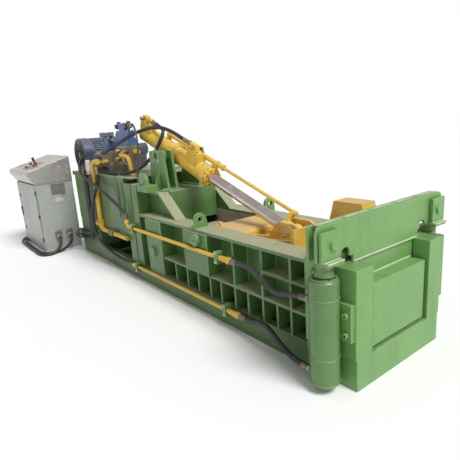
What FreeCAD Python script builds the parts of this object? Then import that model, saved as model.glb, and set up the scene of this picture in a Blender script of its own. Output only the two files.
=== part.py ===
import FreeCAD, Part
import math
import os
import re
from FreeCAD import Placement, Rotation, Vector

# Horizontal baling press for metal scrap: a long press box with a hinged lid, a lifting
# gate at its front end, a main ram, an oil tank with the power unit behind, and a desk.
# X runs along the box towards the gate, Y across it, Z up.  The origin lies on the floor,
# on the machine's centreline, below the axes of the two gate cylinders.  Millimetres.

doc = FreeCAD.newDocument("Baler")
sheet = doc.addObject("Spreadsheet::Sheet", "Dims")

dimensions = {
    # gate frame
    "gateFront": 140, "gateRear": -213, "postInner": 285, "postOuter": 430, "postTop": 695,
    "sillTop": 185, "footHalf": 420, "footTop": 189, "grooveRear": -30, "grooveFront": 30,
    "grooveHalf": 306,
    # door, beam and its ears
    "doorFront": 125, "doorHalf": 263, "doorBottom": 207, "doorTop": 580, "slideClear": 4,
    "flangeHalf": 300, "flangeTop": 698, "beamHalf": 607, "beamBottom": 755, "beamTop": 940,
    "beamPlate": 16, "beamGap": 18, "beamFootHalf": 315, "notchPlace": 380, "notchRadius": 35,
    "earInner": 456, "earOuter": 598, "earTop": 912, "earPlate": 20, "earSpacer": 8,
    # gate cylinders
    "gateAxis": 514, "barrelRadius": 80, "barrelFoot": 33, "barrelTop": 640, "gateBore": 55,
    "gateRodRadius": 40, "gatePinZ": 840, "gatePinRadius": 27, "collarRadius": 50,
    "collarLow": 662, "collarHigh": 735, "tongueHalf": 16, "fit": 0.05, "gap": 0.3,
    "bracketLow": 300, "bracketHigh": 512, "bracketFront": 128, "bracketRear": -95,
    "bracketThick": 28, "screwX": 98, "screwHeadRadius": 15, "screwRadius": 10,
    # press box
    "chamberHalf": 245, "liner": 12, "wallPlate": 36, "floorLow": 165, "floorTop": 190,
    "flangeZ": 681, "flangeThick": 22, "ribEdge": 420, "ribThick": 16, "midRibZ": 325,
    "highRibZ": 505, "slopeFoot": -1760, "slopeHead": -2025, "deckZ": 898, "deckRear": -2400,
    "ledgeInner": 345, "ledgeRear": -2316, "facePlate": 432, "facePlateThick": 28,
    "baseRear": -4027, "railWidth": 60,
    # lid and its hinge
    "hingeX": -1320, "hingeZ": 605, "hingePinRadius": 30, "lidFront": -45, "lidRear": -1362,
    "lidHalf": 239, "lidTop": 600, "lidThick": 28, "crossPlateX": -470, "crossPlateTop": 772,
    "earGap": 62, "clevisPlate": 26, "clevisRadius": 88, "rodPinX": -700, "rodPinZ": 668,
    "rodPinRadius": 32,
    # lid cylinder
    "trunnionX": -2215, "trunnionZ": 1206, "lidBarrelRadius": 80, "lidBarrelRear": -680,
    "lidBarrelFront": 590, "lidBore": 62, "lidRodRadius": 45, "journalRadius": 35,
    "rodEyeRadius": 60, "rodEyeHalf": 50, "guideSide": 44, "guideLift": 116,
    "guideRadius": 22, "travelRadius": 14,
    "standOuter": 228, "standInner": 116, "standPlate": 24, "standTop": 1252,
    # main ram
    "ramZ": 377, "ramBarrelRadius": 140, "ramBore": 110, "ramRodRadius": 60,
    "ramRear": -1960, "ramFront": -1560, "ramHalf": 241, "ramLow": 192, "ramTop": 540,
    # tank and power unit
    "tankRear": -4000, "tankFront": -2576, "tankLow": 430, "tankTop": 1005, "tankHalf": 420,
    "tankWall": 8, "legFront": -3400, "channelHalf": 190, "channelTop": 560,
    "motorX": -3705, "motorZ": 1213, "motorRadius": 172, "motorNear": -330, "motorFar": 130,
    "coverRadius": 186, "coverNear": -420,
    # pressure pipes on the near side
    "pipeY": -452, "pipeRadius": 15, "upperPipeZ": 532, "lowerPipeZ": 142,
    # desk
    "deskRear": -5214, "deskFront": -4274, "deskNear": -840, "deskFar": -380, "deskTop": 880,
    "deskSheet": 4, "panelNear": -913, "panelNearTop": 1036, "panelFarTop": 1190,
}
for row, (alias, number) in enumerate(dimensions.items(), start=1):
    sheet.set(f"A{row}", alias)
    sheet.set(f"B{row}", str(number))
    sheet.setAlias(f"B{row}", alias)
doc.recompute()
size = {alias: float(sheet.get(alias)) for alias in dimensions}

word = re.compile(r"[A-Za-z_]\w*")
nodes = {}


def bind(item, prop, text):
    """Bind a property to an expression written with the sheet's aliases."""
    item.setExpression(prop, word.sub(lambda m: f"Dims.{m[0]}" if m[0] in dimensions else m[0],
                                      str(text)))


def put(item, x, y, z):
    for axis, text in zip("xyz", (x, y, z)):
        bind(item, f".Placement.Base.{axis}", text)
    return item


def box(x, y, z):
    """A block from its low and high bound along each axis."""
    item = doc.addObject("Part::Box", "Block")
    for prop, (low, high) in zip(("Length", "Width", "Height"), (x, y, z)):
        bind(item, prop, f"({high}) - ({low})")
    return put(item, x[0], y[0], z[0])


turned = {"X": Rotation(Vector(0, 1, 0), 90), "Y": Rotation(Vector(1, 0, 0), -90), "Z": Rotation()}


def along(item, axis, start, across):
    """Place a round solid along an axis; across gives the centre on the other two axes."""
    item.Placement = Placement(Vector(), turned[axis])
    places = list(across)
    places.insert("XYZ".index(axis), start)
    return put(item, *places)


def disc(axis, radius, span, across):
    item = doc.addObject("Part::Cylinder", "Round")
    bind(item, "Radius", radius)
    bind(item, "Height", f"({span[1]}) - ({span[0]})")
    return along(item, axis, span[0], across)


def cone(axis, radii, span, across):
    item = doc.addObject("Part::Cone", "Taper")
    bind(item, "Radius1", radii[0])
    bind(item, "Radius2", radii[1])
    bind(item, "Height", f"({span[1]}) - ({span[0]})")
    return along(item, axis, span[0], across)


def join(*items):
    item = doc.addObject("Part::MultiFuse", "Joined")
    item.Shapes = list(items)
    return item


def cut(base, *tools):
    item = doc.addObject("Part::Cut", "Carved")
    item.Base = base
    item.Tool = tools[0] if len(tools) == 1 else join(*tools)
    return item


def group(*items):
    item = doc.addObject("Part::Compound", "Set")
    item.Links = list(items)
    return item


def mirrored(source):
    """The same piece on the other side of the centreline."""
    item = doc.addObject("Part::Mirroring", "Mirrored")
    item.Source = source
    item.Normal = Vector(0, 1, 0)
    return item


def node(label, item):
    item.Label = label
    nodes[label] = item
    return item


def path(points, radii, closed=False):
    """Straight runs joined by tangent arcs, one arc at each point with a radius."""
    count = len(points)
    edges = []
    last = None
    first = None
    for i, (point, radius) in enumerate(zip(points, radii)):
        if not closed and i in (0, count - 1):
            enter = leave = point
            arc = None
        elif not radius:
            enter = leave = point
            arc = None
        else:
            into = (point - points[i - 1]).normalize()
            out = (points[(i + 1) % count] - point).normalize()
            half = into.getAngle(out) / 2
            enter = point - into * radius * math.tan(half)
            leave = point + out * radius * math.tan(half)
            centre = point + (out - into).normalize() * (radius / math.cos(half))
            arc = Part.Arc(enter, centre + (point - centre).normalize() * radius, leave).toShape()
        if last is not None and (enter - last).Length > 0.001:
            edges.append(Part.LineSegment(last, enter).toShape())
        if arc:
            edges.append(arc)
        if first is None:
            first = enter
        last = leave
    if closed and (first - last).Length > 0.001:
        edges.append(Part.LineSegment(last, first).toShape())
    return Part.Wire(edges)


def plate(axis, span, corners):
    """A flat plate across an axis; corners are (a, b) or (a, b, radius) on the other two."""
    index = "XYZ".index(axis)
    points = []
    for corner in corners:
        place = list(corner[:2])
        place.insert(index, span[0])
        points.append(Vector(*place))
    radii = [corner[2] if len(corner) > 2 else 0 for corner in corners]
    push = [0, 0, 0]
    push[index] = span[1] - span[0]
    item = doc.addObject("Part::Feature", "Plate")
    item.Shape = Part.Face(path(points, radii, closed=True)).extrude(Vector(*push))
    return item


def tube(radius, points, radii):
    """A round bar swept along straight runs and tangent arcs."""
    places = [Vector(*point) for point in points]
    line = path(places, [0] + list(radii) + [0])
    start = (places[1] - places[0]).normalize()
    profile = Part.Face(Part.Wire(Part.Circle(places[0], start, radius).toShape()))
    item = doc.addObject("Part::Feature", "Tube")
    item.Shape = line.makePipe(profile)
    return item, line.Length


def hose(label, diameter, points):
    """A hose through a route chosen by hand, its arcs as large as its runs allow."""
    places = [Vector(*point) for point in points]
    runs = [(b - a).Length for a, b in zip(places, places[1:])]
    radii = []
    for i in range(1, len(places) - 1):
        turn = (places[i] - places[i - 1]).getAngle(places[i + 1] - places[i])
        radii.append(0.45 * min(runs[i - 1], runs[i]) / math.tan(turn / 2))
    item, length = tube(diameter / 2, points, radii)
    share = item.Shape.Volume / (math.pi * diameter ** 2 / 4 * length)
    print(f"{label}: {length:.0f} long, runs {min(runs):.0f} to {max(runs):.0f}, "
          f"volume share {share:.4f}, radii {[round(radius) for radius in radii]}")
    return node(label, item)


# ---------------------------------------------------------------- base and gate frame

def baseFrame():
    rail = box(("baseRear", "gateRear"), ("footHalf - railWidth", "footHalf"), (0, "floorLow"))
    keel = box(("baseRear", "gateRear"), ("-railWidth / 2", "railWidth / 2"), (0, "floorLow"))
    count = 9
    ties = [box((f"baseRear + {i} * (gateRear - baseRear - railWidth) / {count - 1}",
                 f"baseRear + {i} * (gateRear - baseRear - railWidth) / {count - 1} + railWidth"),
                ("-footHalf + railWidth", "footHalf - railWidth"), (0, "floorLow"))
            for i in range(count)]
    return node("base_frame", join(rail, mirrored(rail), keel, *ties))


def gateFrame():
    post = box(("gateRear", "gateFront"), ("chamberHalf", "postOuter"), (0, "postTop"))
    front = box(("grooveFront", "gateFront + 1"), ("chamberHalf - 1", "postInner"),
                ("sillTop", "postTop + 1"))
    groove = box(("grooveRear", "grooveFront + 1"), ("chamberHalf - 1", "grooveHalf"),
                 ("sillTop", "postTop + 1"))
    foot = box(("gateRear - 1", "gateFront + 1"), ("footHalf", "postOuter + 1"),
               (-1, "footTop"))
    post = cut(post, front, groove, foot)
    sill = box(("gateRear", "gateFront"), ("-chamberHalf", "chamberHalf"), (0, "sillTop"))
    node("gate_frame", join(post, mirrored(post), sill))


def gateBracket():
    block = box(("bracketRear", "bracketFront"), ("postOuter", "postOuter + bracketThick"),
                ("bracketLow", "bracketHigh"))
    seat = disc("Z", "barrelRadius + fit", ("bracketLow - 1", "bracketHigh + 1"),
                (0, "gateAxis"))
    block = cut(block, seat)
    node("gate_brackets", group(block, mirrored(block)))
    screws = []
    for z in ("bracketLow + 40", "bracketHigh - 60"):
        head = disc("Y", "screwHeadRadius", ("postOuter + bracketThick",
                                             "postOuter + bracketThick + 20"), ("screwX", z))
        socket = disc("Y", "screwHeadRadius / 2", ("postOuter + bracketThick + 8",
                                                   "postOuter + bracketThick + 21"),
                      ("screwX", z))
        screws.append(cut(head, socket))
    screws += [mirrored(screw) for screw in screws]
    node("bracket_screws", group(*screws))


def gateCylinders():
    """Barrels with their glands, fixed to the posts."""
    body = join(disc("Z", "barrelRadius", ("barrelFoot + 20", "barrelTop"), (0, "gateAxis")),
                cone("Z", ("barrelRadius - 22", "barrelRadius"), ("barrelFoot", "barrelFoot + 20"),
                     (0, "gateAxis")),
                cone("Z", ("barrelRadius", "barrelRadius - 14"), ("barrelTop", "barrelTop + 14"),
                     (0, "gateAxis")),
                disc("X", 22, ("-barrelRadius - 26", "-barrelRadius / 2"), ("gateAxis", 502)),
                disc("X", 22, ("-barrelRadius - 26", "-barrelRadius / 2"), ("gateAxis", 76)))
    bore = disc("Z", "gateBore", ("barrelFoot + 60", "barrelTop - 40"), (0, "gateAxis"))
    gland = disc("Z", "gateRodRadius + fit", ("barrelTop - 41", "barrelTop + 15"),
                 (0, "gateAxis"))
    far = cut(body, bore, gland)
    node("far_gate_barrel", far)
    node("near_gate_barrel", mirrored(far))


def gateRods():
    piston = disc("Z", "gateBore - fit", ("barrelFoot + 62", "barrelFoot + 102"),
                  (0, "gateAxis"))
    rod = disc("Z", "gateRodRadius", ("barrelFoot + 62", "collarLow"), (0, "gateAxis"))
    collar = disc("Z", "collarRadius", ("collarLow", "collarHigh"), (0, "gateAxis"))
    tongue = box(("-tongueHalf", "tongueHalf"), ("gateAxis - 40", "gateAxis + 40"),
                 ("collarHigh", "gatePinZ + 45"))
    eye = disc("X", "gatePinRadius + fit", ("-tongueHalf - 1", "tongueHalf + 1"),
               ("gateAxis", "gatePinZ"))
    rod = cut(join(piston, rod, collar, tongue), eye)
    node("gate_rods", group(rod, mirrored(rod)))
    pin = disc("X", "gatePinRadius", ("-beamGap - beamPlate - 10",
                                      "beamGap + beamPlate + earSpacer + earPlate + 6"),
               ("gateAxis", "gatePinZ"))
    node("gate_pins", group(pin, mirrored(pin)))


def crossbeam():
    """Two plates with a top strip, carrying the ears for the gate cylinders' rods."""
    low, foot, top = size["beamBottom"], size["flangeTop"], size["beamTop"]
    half, inner, place = size["beamHalf"], size["beamFootHalf"], size["notchPlace"]
    notch = size["notchRadius"]
    outline = []
    for side in (1, -1):
        corners = [(inner, foot), (inner, low - 20), (place - notch, low - 20),
                   (place - notch, low + notch, notch * 0.98), (place + notch, low + notch,
                                                                notch * 0.98),
                   (place + notch, low), (half, low), (half, top, 34)]
        outline += [(side * y, z, *rest) for y, z, *rest in corners[::side]]
    gap, thick = size["beamGap"], size["beamPlate"]
    front = plate("X", (gap, gap + thick), outline)
    rear = plate("X", (-gap - thick, -gap), outline)
    strip = box(("-beamGap", "beamGap"), ("-beamHalf + 40", "beamHalf - 40"),
                ("beamTop - 16", "beamTop"))
    webs = [box(("-beamGap", "beamGap"), (f"{place} - 8", f"{place} + 8"),
                ("beamBottom + 60", "beamTop - 16")) for place in (-400, -150, 150, 400)]
    ear = join(box(("beamGap + beamPlate", "beamGap + beamPlate + earSpacer"),
                   ("earInner + 12", "earOuter - 12"), ("beamBottom", "earTop - 10")),
               box(("beamGap + beamPlate + earSpacer",
                    "beamGap + beamPlate + earSpacer + earPlate"),
                   ("earInner", "earOuter"), ("beamBottom", "earTop")),
               box(("beamGap", "beamGap + beamPlate + earSpacer + earPlate + 22"),
                   ("earInner - 4", "earOuter - 14"), ("beamBottom - 20", "beamBottom")))
    hole = disc("X", "gatePinRadius + fit", ("-beamGap - beamPlate - 1",
                                             "beamGap + beamPlate + earSpacer + earPlate + 1"),
                ("gateAxis", "gatePinZ"))
    node("crossbeam", cut(join(front, rear, strip, *webs, ear, mirrored(ear)),
                          hole, mirrored(hole)))


def door():
    slide = box(("grooveRear + slideClear", "grooveFront - slideClear"),
                ("-flangeHalf", "flangeHalf"), ("sillTop + 1", "flangeTop"))
    block = box(("grooveFront - slideClear", "doorFront"), ("-doorHalf", "doorHalf"),
                ("doorBottom", "doorTop"))
    node("door", join(slide, block))


# ---------------------------------------------------------------- press box

ribPlaces = (-1697, -1514, -1351, -1186, -1047, -881, -739, -587, -452, -331)
highRibPlaces = (-881, -587, -331)


def wall():
    """Side wall: inner plate, top flange, egg-crate ribs and two bearing plates."""
    inner = size["chamberHalf"] + size["liner"]
    outer = inner + size["wallPlate"]
    under = size["flangeZ"] - size["flangeThick"]
    head = size["deckZ"] - size["flangeThick"]
    rear = size["deckRear"] + 24
    skin = plate("Y", (inner, outer), [(rear, size["floorLow"]), (size["gateRear"],
                                                                  size["floorLow"]),
                                       (size["gateRear"], under), (size["slopeFoot"], under),
                                       (size["slopeHead"], head), (rear, head)])
    slope = plate("Y", (size["chamberHalf"], size["ledgeInner"]),
                  [(size["slopeFoot"], under), (size["slopeFoot"], size["flangeZ"]),
                   (size["slopeHead"], size["deckZ"]), (rear, size["deckZ"]), (rear, head),
                   (size["slopeHead"], head)])
    flange = box(("slopeFoot", "gateRear"), ("chamberHalf", "ribEdge"),
                 ("flangeZ - flangeThick", "flangeZ"))
    ledge = box(("ledgeRear", "slopeFoot"), ("chamberHalf + liner", "ribEdge"),
                ("flangeZ - flangeThick", "flangeZ"))
    deep = (f"{outer}", "ribEdge")
    ribs = [box((f"{x} - ribThick", x), deep, ("floorLow", "midRibZ")) for x in ribPlaces]
    ribs += [box((f"{x} - ribThick", x), deep, ("midRibZ + ribThick", "flangeZ - flangeThick"))
             for x in highRibPlaces]
    ribs.append(box((-1900, "gateRear"), deep, ("midRibZ", "midRibZ + ribThick")))
    ribs.append(box((highRibPlaces[1], "gateRear"), deep, ("highRibZ", "highRibZ + 14")))
    face = ("facePlate - facePlateThick", "facePlate")
    bearing = box(("hingeX - 186", "hingeX + 134"), face, ("midRibZ + 5", "flangeZ - flangeThick"))
    cheeks = [box((f"hingeX + {x}", f"hingeX + {x} + ribThick"), deep,
                  ("midRibZ + ribThick", "flangeZ - flangeThick")) for x in (-186, 118)]
    boss = disc("Y", "hingePinRadius + 16", ("facePlate", "facePlate + 12"), ("hingeX", "hingeZ"))
    anchor = box((-2165, -1897), face, ("floorLow", "flangeZ - flangeThick"))
    flanks = [box((x, f"{x} + ribThick"), deep, ("floorLow", "flangeZ - flangeThick"))
              for x in (-2165, -1913)]
    anchorBoss = disc("Y", 52, ("facePlate", "facePlate + 10"), (-2064, 364))
    bore = disc("Y", "hingePinRadius + fit", ("chamberHalf", "facePlate + 13"),
                ("hingeX", "hingeZ"))
    column = box((-2577, -2304), (300, 426), ("floorLow - 1", "deckZ + 61"))
    far = cut(join(skin, slope, flange, ledge, *ribs, bearing, *cheeks, boss, anchor, *flanks,
                   anchorBoss), bore, column)
    node("far_wall", far)
    node("near_wall", mirrored(far))
    side = box(("ramRear - 20", "gateRear"), ("chamberHalf", "chamberHalf + liner"),
               ("floorTop", "flangeZ - flangeThick"))
    side = cut(side, disc("Y", "hingePinRadius + fit", ("chamberHalf - 1",
                                                        "chamberHalf + liner + 1"),
                          ("hingeX", "hingeZ")))
    node("side_liners", group(side, mirrored(side)))
    node("press_floor", box(("deckRear + 24", "gateRear"),
                            ("-chamberHalf - liner", "chamberHalf + liner"),
                            ("floorLow", "floorTop")))


def rearHousing():
    """Bulkhead behind the feed opening, deck, rear plate and the two corner columns."""
    span = ("-chamberHalf", "chamberHalf")
    bulkhead = box((-1990, -1965), span, (606, "deckZ - flangeThick"))
    deck = box(("deckRear", -1965), span, ("deckZ - flangeThick", "deckZ"))
    back = box(("deckRear", "deckRear + 24"), ("-ribEdge", "ribEdge"), ("floorLow", "deckZ"))
    port = disc("X", "ramBarrelRadius + fit", ("deckRear - 1", "deckRear + 25"), (0, "ramZ"))
    column = box((-2570, -2304), (300, 425), ("floorLow", "deckZ + 60"))
    column = cut(column, box((-2440, -2412), (415, 426), ("floorLow - 1", "deckZ + 61")))
    node("rear_housing", cut(join(bulkhead, deck, back, column, mirrored(column)), port))


def trunnionStands():
    low, top = size["deckZ"], size["standTop"]
    outline = [(-2352, low + 12), (-2040, low + 12), (-2088, top, 12), (-2342, top, 12)]
    thick = size["standPlate"]
    plates = [plate("Y", (y - thick, y), outline) for y in (size["standOuter"],
                                                            size["standInner"] + thick)]
    foot = box((-2376, -2016), (96, "standOuter + 10"), ("deckZ", "deckZ + 12"))
    sleeve = disc("Y", "journalRadius + 20", ("standInner", "standOuter"),
                  ("trunnionX", "trunnionZ - 10"))
    bore = disc("Y", "journalRadius + fit", ("standInner - 1", "standOuter - 6"),
                ("trunnionX", "trunnionZ"))
    gusset = plate("X", (-2200, -2180), [(size["standOuter"], low + 12), (296, low + 12),
                                         (size["standOuter"], low + 190)])
    pad = box((-2376, -2016), ("standOuter + 10", 298), ("deckZ", "deckZ + 12"))
    far = cut(join(*plates, foot, pad, sleeve, gusset), bore)
    node("far_trunnion_stand", far)
    node("near_trunnion_stand", mirrored(far))


def liftingLugs():
    lug = plate("X", (-1365, -1335), [(298, size["flangeZ"]), (422, size["flangeZ"]),
                                      (416, 800, 46), (322, 800, 46)])
    eye = disc("X", 24, (-1366, -1334), (369, 752))
    front = cut(lug, eye)
    ear = plate("Y", (372, 400), [(-2280, size["deckZ"] + 60), (-2116, size["deckZ"] + 60),
                                  (-2126, 1062, 66), (-2270, 1062, 66)])
    boss = disc("Y", 26, (400, 412), (-2198, 992))
    rear = join(ear, boss, box((-2300, -2100), (300, 418), ("deckZ", "deckZ + 60")))
    node("lifting_lugs", group(front, mirrored(front), rear, mirrored(rear)))


# ---------------------------------------------------------------- lid

def lid():
    half = size["lidHalf"]
    top = size["lidTop"]
    sheetPlate = box(("lidRear", "lidFront"), ("-lidHalf", "lidHalf"),
                     ("lidTop - lidThick", "lidTop"))
    knuckle = disc("Y", "hingePinRadius + 26", ("-lidHalf", "lidHalf"), ("hingeX", "hingeZ"))
    bore = disc("Y", "hingePinRadius + fit", ("-lidHalf - 1", "lidHalf + 1"),
                ("hingeX", "hingeZ"))
    cross = plate("Y", (-half, half), [(-530, top), (size["crossPlateX"], top),
                                       (size["crossPlateX"], size["crossPlateTop"]),
                                       (-486, size["crossPlateTop"])])
    outer = size["earGap"] + size["clevisPlate"]
    x, z, radius = size["rodPinX"], size["rodPinZ"], size["clevisRadius"]
    ears = []
    for near in (-outer, size["earGap"]):
        ears.append(plate("Y", (near, near + size["clevisPlate"]),
                          [(-1180, top), (-486, top), (-500, 700, 20),
                           (x + radius, z + radius, radius * 0.9),
                           (x - radius, z + radius, radius * 0.9), (-860, 640, 20)]))
    side = [plate("Y", (y, y + 14), [(-1290, top), (-486, top), (-486, 690), (-700, 660),
                                     (-1200, 622)]) for y in (-200, 186)]
    hole = disc("Y", "rodPinRadius + fit", ("-earGap - clevisPlate - 1",
                                            "earGap + clevisPlate + 1"),
                ("rodPinX", "rodPinZ"))
    stub = [disc("Z", 13, (top, 684), (-1300, y)) for y in (-205, 205)]
    lip = box(("lidFront - 30", "lidFront"), ("-lidHalf", "lidHalf"), (top, top + 30))
    node("lid", cut(join(sheetPlate, knuckle, cross, *ears, *side, *stub, lip), bore, hole))
    node("lid_hinge_pin", disc("Y", "hingePinRadius", ("-facePlate - 16", "facePlate + 16"),
                               ("hingeX", "hingeZ")))
    stubs = [disc("Y", "rodPinRadius", ("earGap - 8", "earGap + clevisPlate + 8"),
                  ("rodPinX", "rodPinZ"))]
    node("clevis_pins", group(*stubs, mirrored(stubs[0])))


# ---------------------------------------------------------------- lid cylinder
# Built lying along X with its trunnion at the origin, then tilted and lifted into place.

tilt = "atan2(trunnionZ - rodPinZ; rodPinX - trunnionX)"
reach = math.hypot(size["rodPinX"] - size["trunnionX"], size["trunnionZ"] - size["rodPinZ"])


def tilted(item):
    item.Placement = Placement(Vector(), Rotation(Vector(0, 1, 0), 20))
    bind(item, ".Placement.Rotation.Angle", tilt)
    return put(item, "trunnionX", 0, "trunnionZ")


def lidCylinder():
    axis = (0, 0)
    rearPort = join(box((-640, -430), (-60, 14), ("lidBarrelRadius - 25", 150)),
                    box((-620, -540), (-48, 2), (150, 196)),
                    disc("X", 17, (-470, -430), (-20, 168)),
                    box((-500, -470), (-42, 2), (146, 190)))
    frontPort = join(box((262, 425), (-70, 14), ("lidBarrelRadius - 25", 160)),
                     box((300, 400), (-72, -28), (158, 226)),
                     disc("X", 17, (235, 300), (-50, 205)))
    body = join(disc("X", "lidBarrelRadius", ("lidBarrelRear + 60", "lidBarrelFront - 60"), axis),
                cone("X", (34, "lidBarrelRadius"), ("lidBarrelRear", "lidBarrelRear + 60"), axis),
                disc("X", "lidBarrelRadius + 14", ("lidBarrelFront - 75", "lidBarrelFront - 18"),
                     axis),
                disc("X", "lidBarrelRadius + 4", ("lidBarrelFront - 19", "lidBarrelFront"), axis),
                disc("X", "lidBarrelRadius + 16", (-45, 45), axis),
                disc("Y", "journalRadius + 24", ("-standInner + 3", "standInner - 3"), axis),
                disc("Y", "journalRadius", ("-standOuter + 8", "standOuter - 8"), axis),
                rearPort, frontPort)
    bore = disc("X", "lidBore", ("lidBarrelRear + 80", "lidBarrelFront - 70"), axis)
    gland = disc("X", "lidRodRadius + fit", ("lidBarrelFront - 71", "lidBarrelFront + 1"), axis)
    node("lid_barrel", tilted(cut(body, bore, gland)))

    # The indicator rod slides in a guide tube clamped beside the barrel.
    place = ("guideSide", "guideLift")
    guide = disc("X", "guideRadius", (-245, "lidBarrelFront + 85"), place)
    ends = [box((x, f"{x} + 26"), ("guideSide - 30", "guideSide + 12"), (40, "guideLift"))
            for x in (-225, 190, 560)]
    guide = cut(join(guide, *ends), disc("X", "travelRadius + 2", (-246, "lidBarrelFront + 86"),
                                         place),
                disc("X", "lidBarrelRadius", (-300, "lidBarrelFront - 75"), axis),
                disc("X", "lidBarrelRadius + 14", ("lidBarrelFront - 75",
                                                   "lidBarrelFront - 18"), axis),
                disc("X", "lidBarrelRadius + 4", ("lidBarrelFront - 19", "lidBarrelFront"), axis))
    node("guide_tube", tilted(guide))

    end = round(reach, 3)
    rod = join(disc("X", "lidRodRadius", (110, f"{end} - 60"), axis),
               disc("X", "lidBore - fit", (110, 165), axis),
               disc("Y", "rodEyeRadius", ("-rodEyeHalf", "rodEyeHalf"), (end, 0)),
               disc("X", 58, (f"{end} - 110", f"{end} - 40"), axis))
    node("lid_rod", tilted(rod))
    side, lift = size["guideSide"], size["guideLift"]
    arm = plate("X", (end - 100, end - 72), [(-6, 40), (side - 16, lift + 16, 10),
                                             (side + 12, lift + 16, 10), (side + 12, lift - 6),
                                             (34, 40)])
    arm = join(cut(arm, disc("X", 58, (f"{end} - 110", f"{end} - 40"), axis)),
               disc("X", "travelRadius", (180, f"{end} - 40"), place))
    node("travel_rod", tilted(arm))


# ---------------------------------------------------------------- main ram

def mainRam():
    barrel = join(disc("X", "ramBarrelRadius", (-3880, "deckRear + 24"), (0, "ramZ")),
                  disc("X", "ramBarrelRadius + 40", ("deckRear - 40", "deckRear"), (0, "ramZ")))
    bore = disc("X", "ramBore", (-3840, "deckRear - 40"), (0, "ramZ"))
    gland = disc("X", "ramRodRadius + fit", ("deckRear - 41", "deckRear + 25"), (0, "ramZ"))
    node("main_cylinder", cut(barrel, bore, gland))
    node("ram_rod", join(disc("X", "ramRodRadius", (-3780, "ramRear"), (0, "ramZ")),
                         disc("X", "ramBore - fit", (-3780, -3700), (0, "ramZ"))))
    shell = box(("ramRear", "ramFront"), ("-ramHalf", "ramHalf"), ("ramLow", "ramTop"))
    hollow = box(("ramRear + 60", "ramFront - 60"), ("-ramHalf + 40", "ramHalf - 40"),
                 ("ramLow + 40", "ramTop - 40"))
    node("ram_head", cut(shell, hollow))


# ---------------------------------------------------------------- tank and power unit

def tank():
    half = ("-tankHalf", "tankHalf")
    outer = join(box(("tankRear", "tankFront"), half, ("tankLow", "tankTop")),
                 box(("tankFront", "deckRear"), (-290, 290), ("deckZ + 2", "tankTop")),
                 box(("tankRear - 10", "deckRear + 10"), ("-tankHalf - 5", "tankHalf + 5"),
                     ("tankTop", "tankTop + 8")),
                 box(("tankRear", "legFront"), half, ("floorLow", "tankLow")),
                 *[box((x, f"{x} + 30"), ("-tankHalf - 14", "tankHalf + 14"), (600, 960))
                   for x in (-2760, -2650)])
    inside = box(("tankRear + tankWall", "tankFront - tankWall"),
                 ("-tankHalf + tankWall", "tankHalf - tankWall"),
                 ("channelTop + tankWall", "tankTop - tankWall"))
    channel = box(("tankRear - 1", "tankFront + 1"), ("-channelHalf", "channelHalf"),
                  ("floorLow - 1", "channelTop"))
    hook = plate("Y", (-420, -400), [(-4075, 1013), (-3960, 1013), (-3960, 1001), (-4052, 1001),
                                     (-4052, 965), (-4075, 965)])
    flange = join(disc("Y", 26, (-470, "-tankHalf"), (-3985, 233)),
                  disc("X", 66, (-3998, -3974), (-462, 233)),
                  disc("X", 24, (-3974, -3960), (-462, 262)),
                  disc("X", 24, (-3974, -3960), (-462, 204)))
    node("oil_tank", join(cut(outer, inside, channel), hook, flange))


def motor():
    axis = ("motorX", "motorZ")
    fins = [box((f"motorX + {x} - 4", f"motorX + {x} + 4"), ("motorNear + 30", "motorFar - 40"),
                ("motorZ + 120", "motorZ + 181")) for x in range(-90, 91, 30)]
    feet = [box((f"motorX + {x}", f"motorX + {x} + 60"), (y, f"{y} + 60"),
                ("tankTop + 8", "motorZ - 120")) for x in (-150, 90) for y in (-250, 0)]
    block = box(("motorX - 60", "motorX + 60"), (-130, 0), ("motorZ + 150", "motorZ + 225"))
    body = join(disc("Y", "motorRadius - 8", ("motorNear", "motorFar"), axis), *fins, *feet, block)
    hollow = disc("Y", "motorRadius - 40", ("motorNear + 20", "motorFar - 20"), axis)
    shaftway = disc("Y", 26, ("motorNear - 1", "motorFar + 1"), axis)
    node("motor_body", cut(body, hollow, shaftway))
    cover = disc("Y", "coverRadius", ("coverNear", "motorNear + 6"), axis)
    inside = disc("Y", "coverRadius - 5", ("coverNear + 5", "motorNear + 7"), axis)
    slots = [box((f"motorX - {half}", f"motorX + {half}"), ("coverNear - 1", "coverNear + 6"),
                 (f"motorZ + {z} - 5", f"motorZ + {z} + 5"))
             for z, half in ((-110, 90), (-82, 120), (-54, 138), (54, 138), (82, 120), (110, 90))]
    node("fan_cover", cut(cover, inside, *slots))
    blades = [box(("motorX - 150", "motorX + 150"), (-405, -365), ("motorZ - 5", "motorZ + 5")),
              box(("motorX - 5", "motorX + 5"), (-405, -365), ("motorZ - 150", "motorZ + 150"))]
    core = join(disc("Y", 25, (-400, "motorFar + 60"), axis),
                disc("Y", "motorRadius - 60", ("motorNear + 60", "motorFar - 60"), axis),
                disc("Y", 70, (-405, -365), axis), *blades)
    node("motor_rotor", core)
    bell = cut(join(cone("Y", (150, 90), ("motorFar", "motorFar + 100"), axis),
                    disc("Y", 75, ("motorFar + 100", "motorFar + 300"), axis),
                    box(("motorX - 50", "motorX + 50"), ("motorFar + 120", "motorFar + 280"),
                        ("tankTop + 8", "motorZ"))),
               disc("Y", 60, ("motorFar - 1", "motorFar + 90"), axis))
    node("pump", bell)


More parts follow.
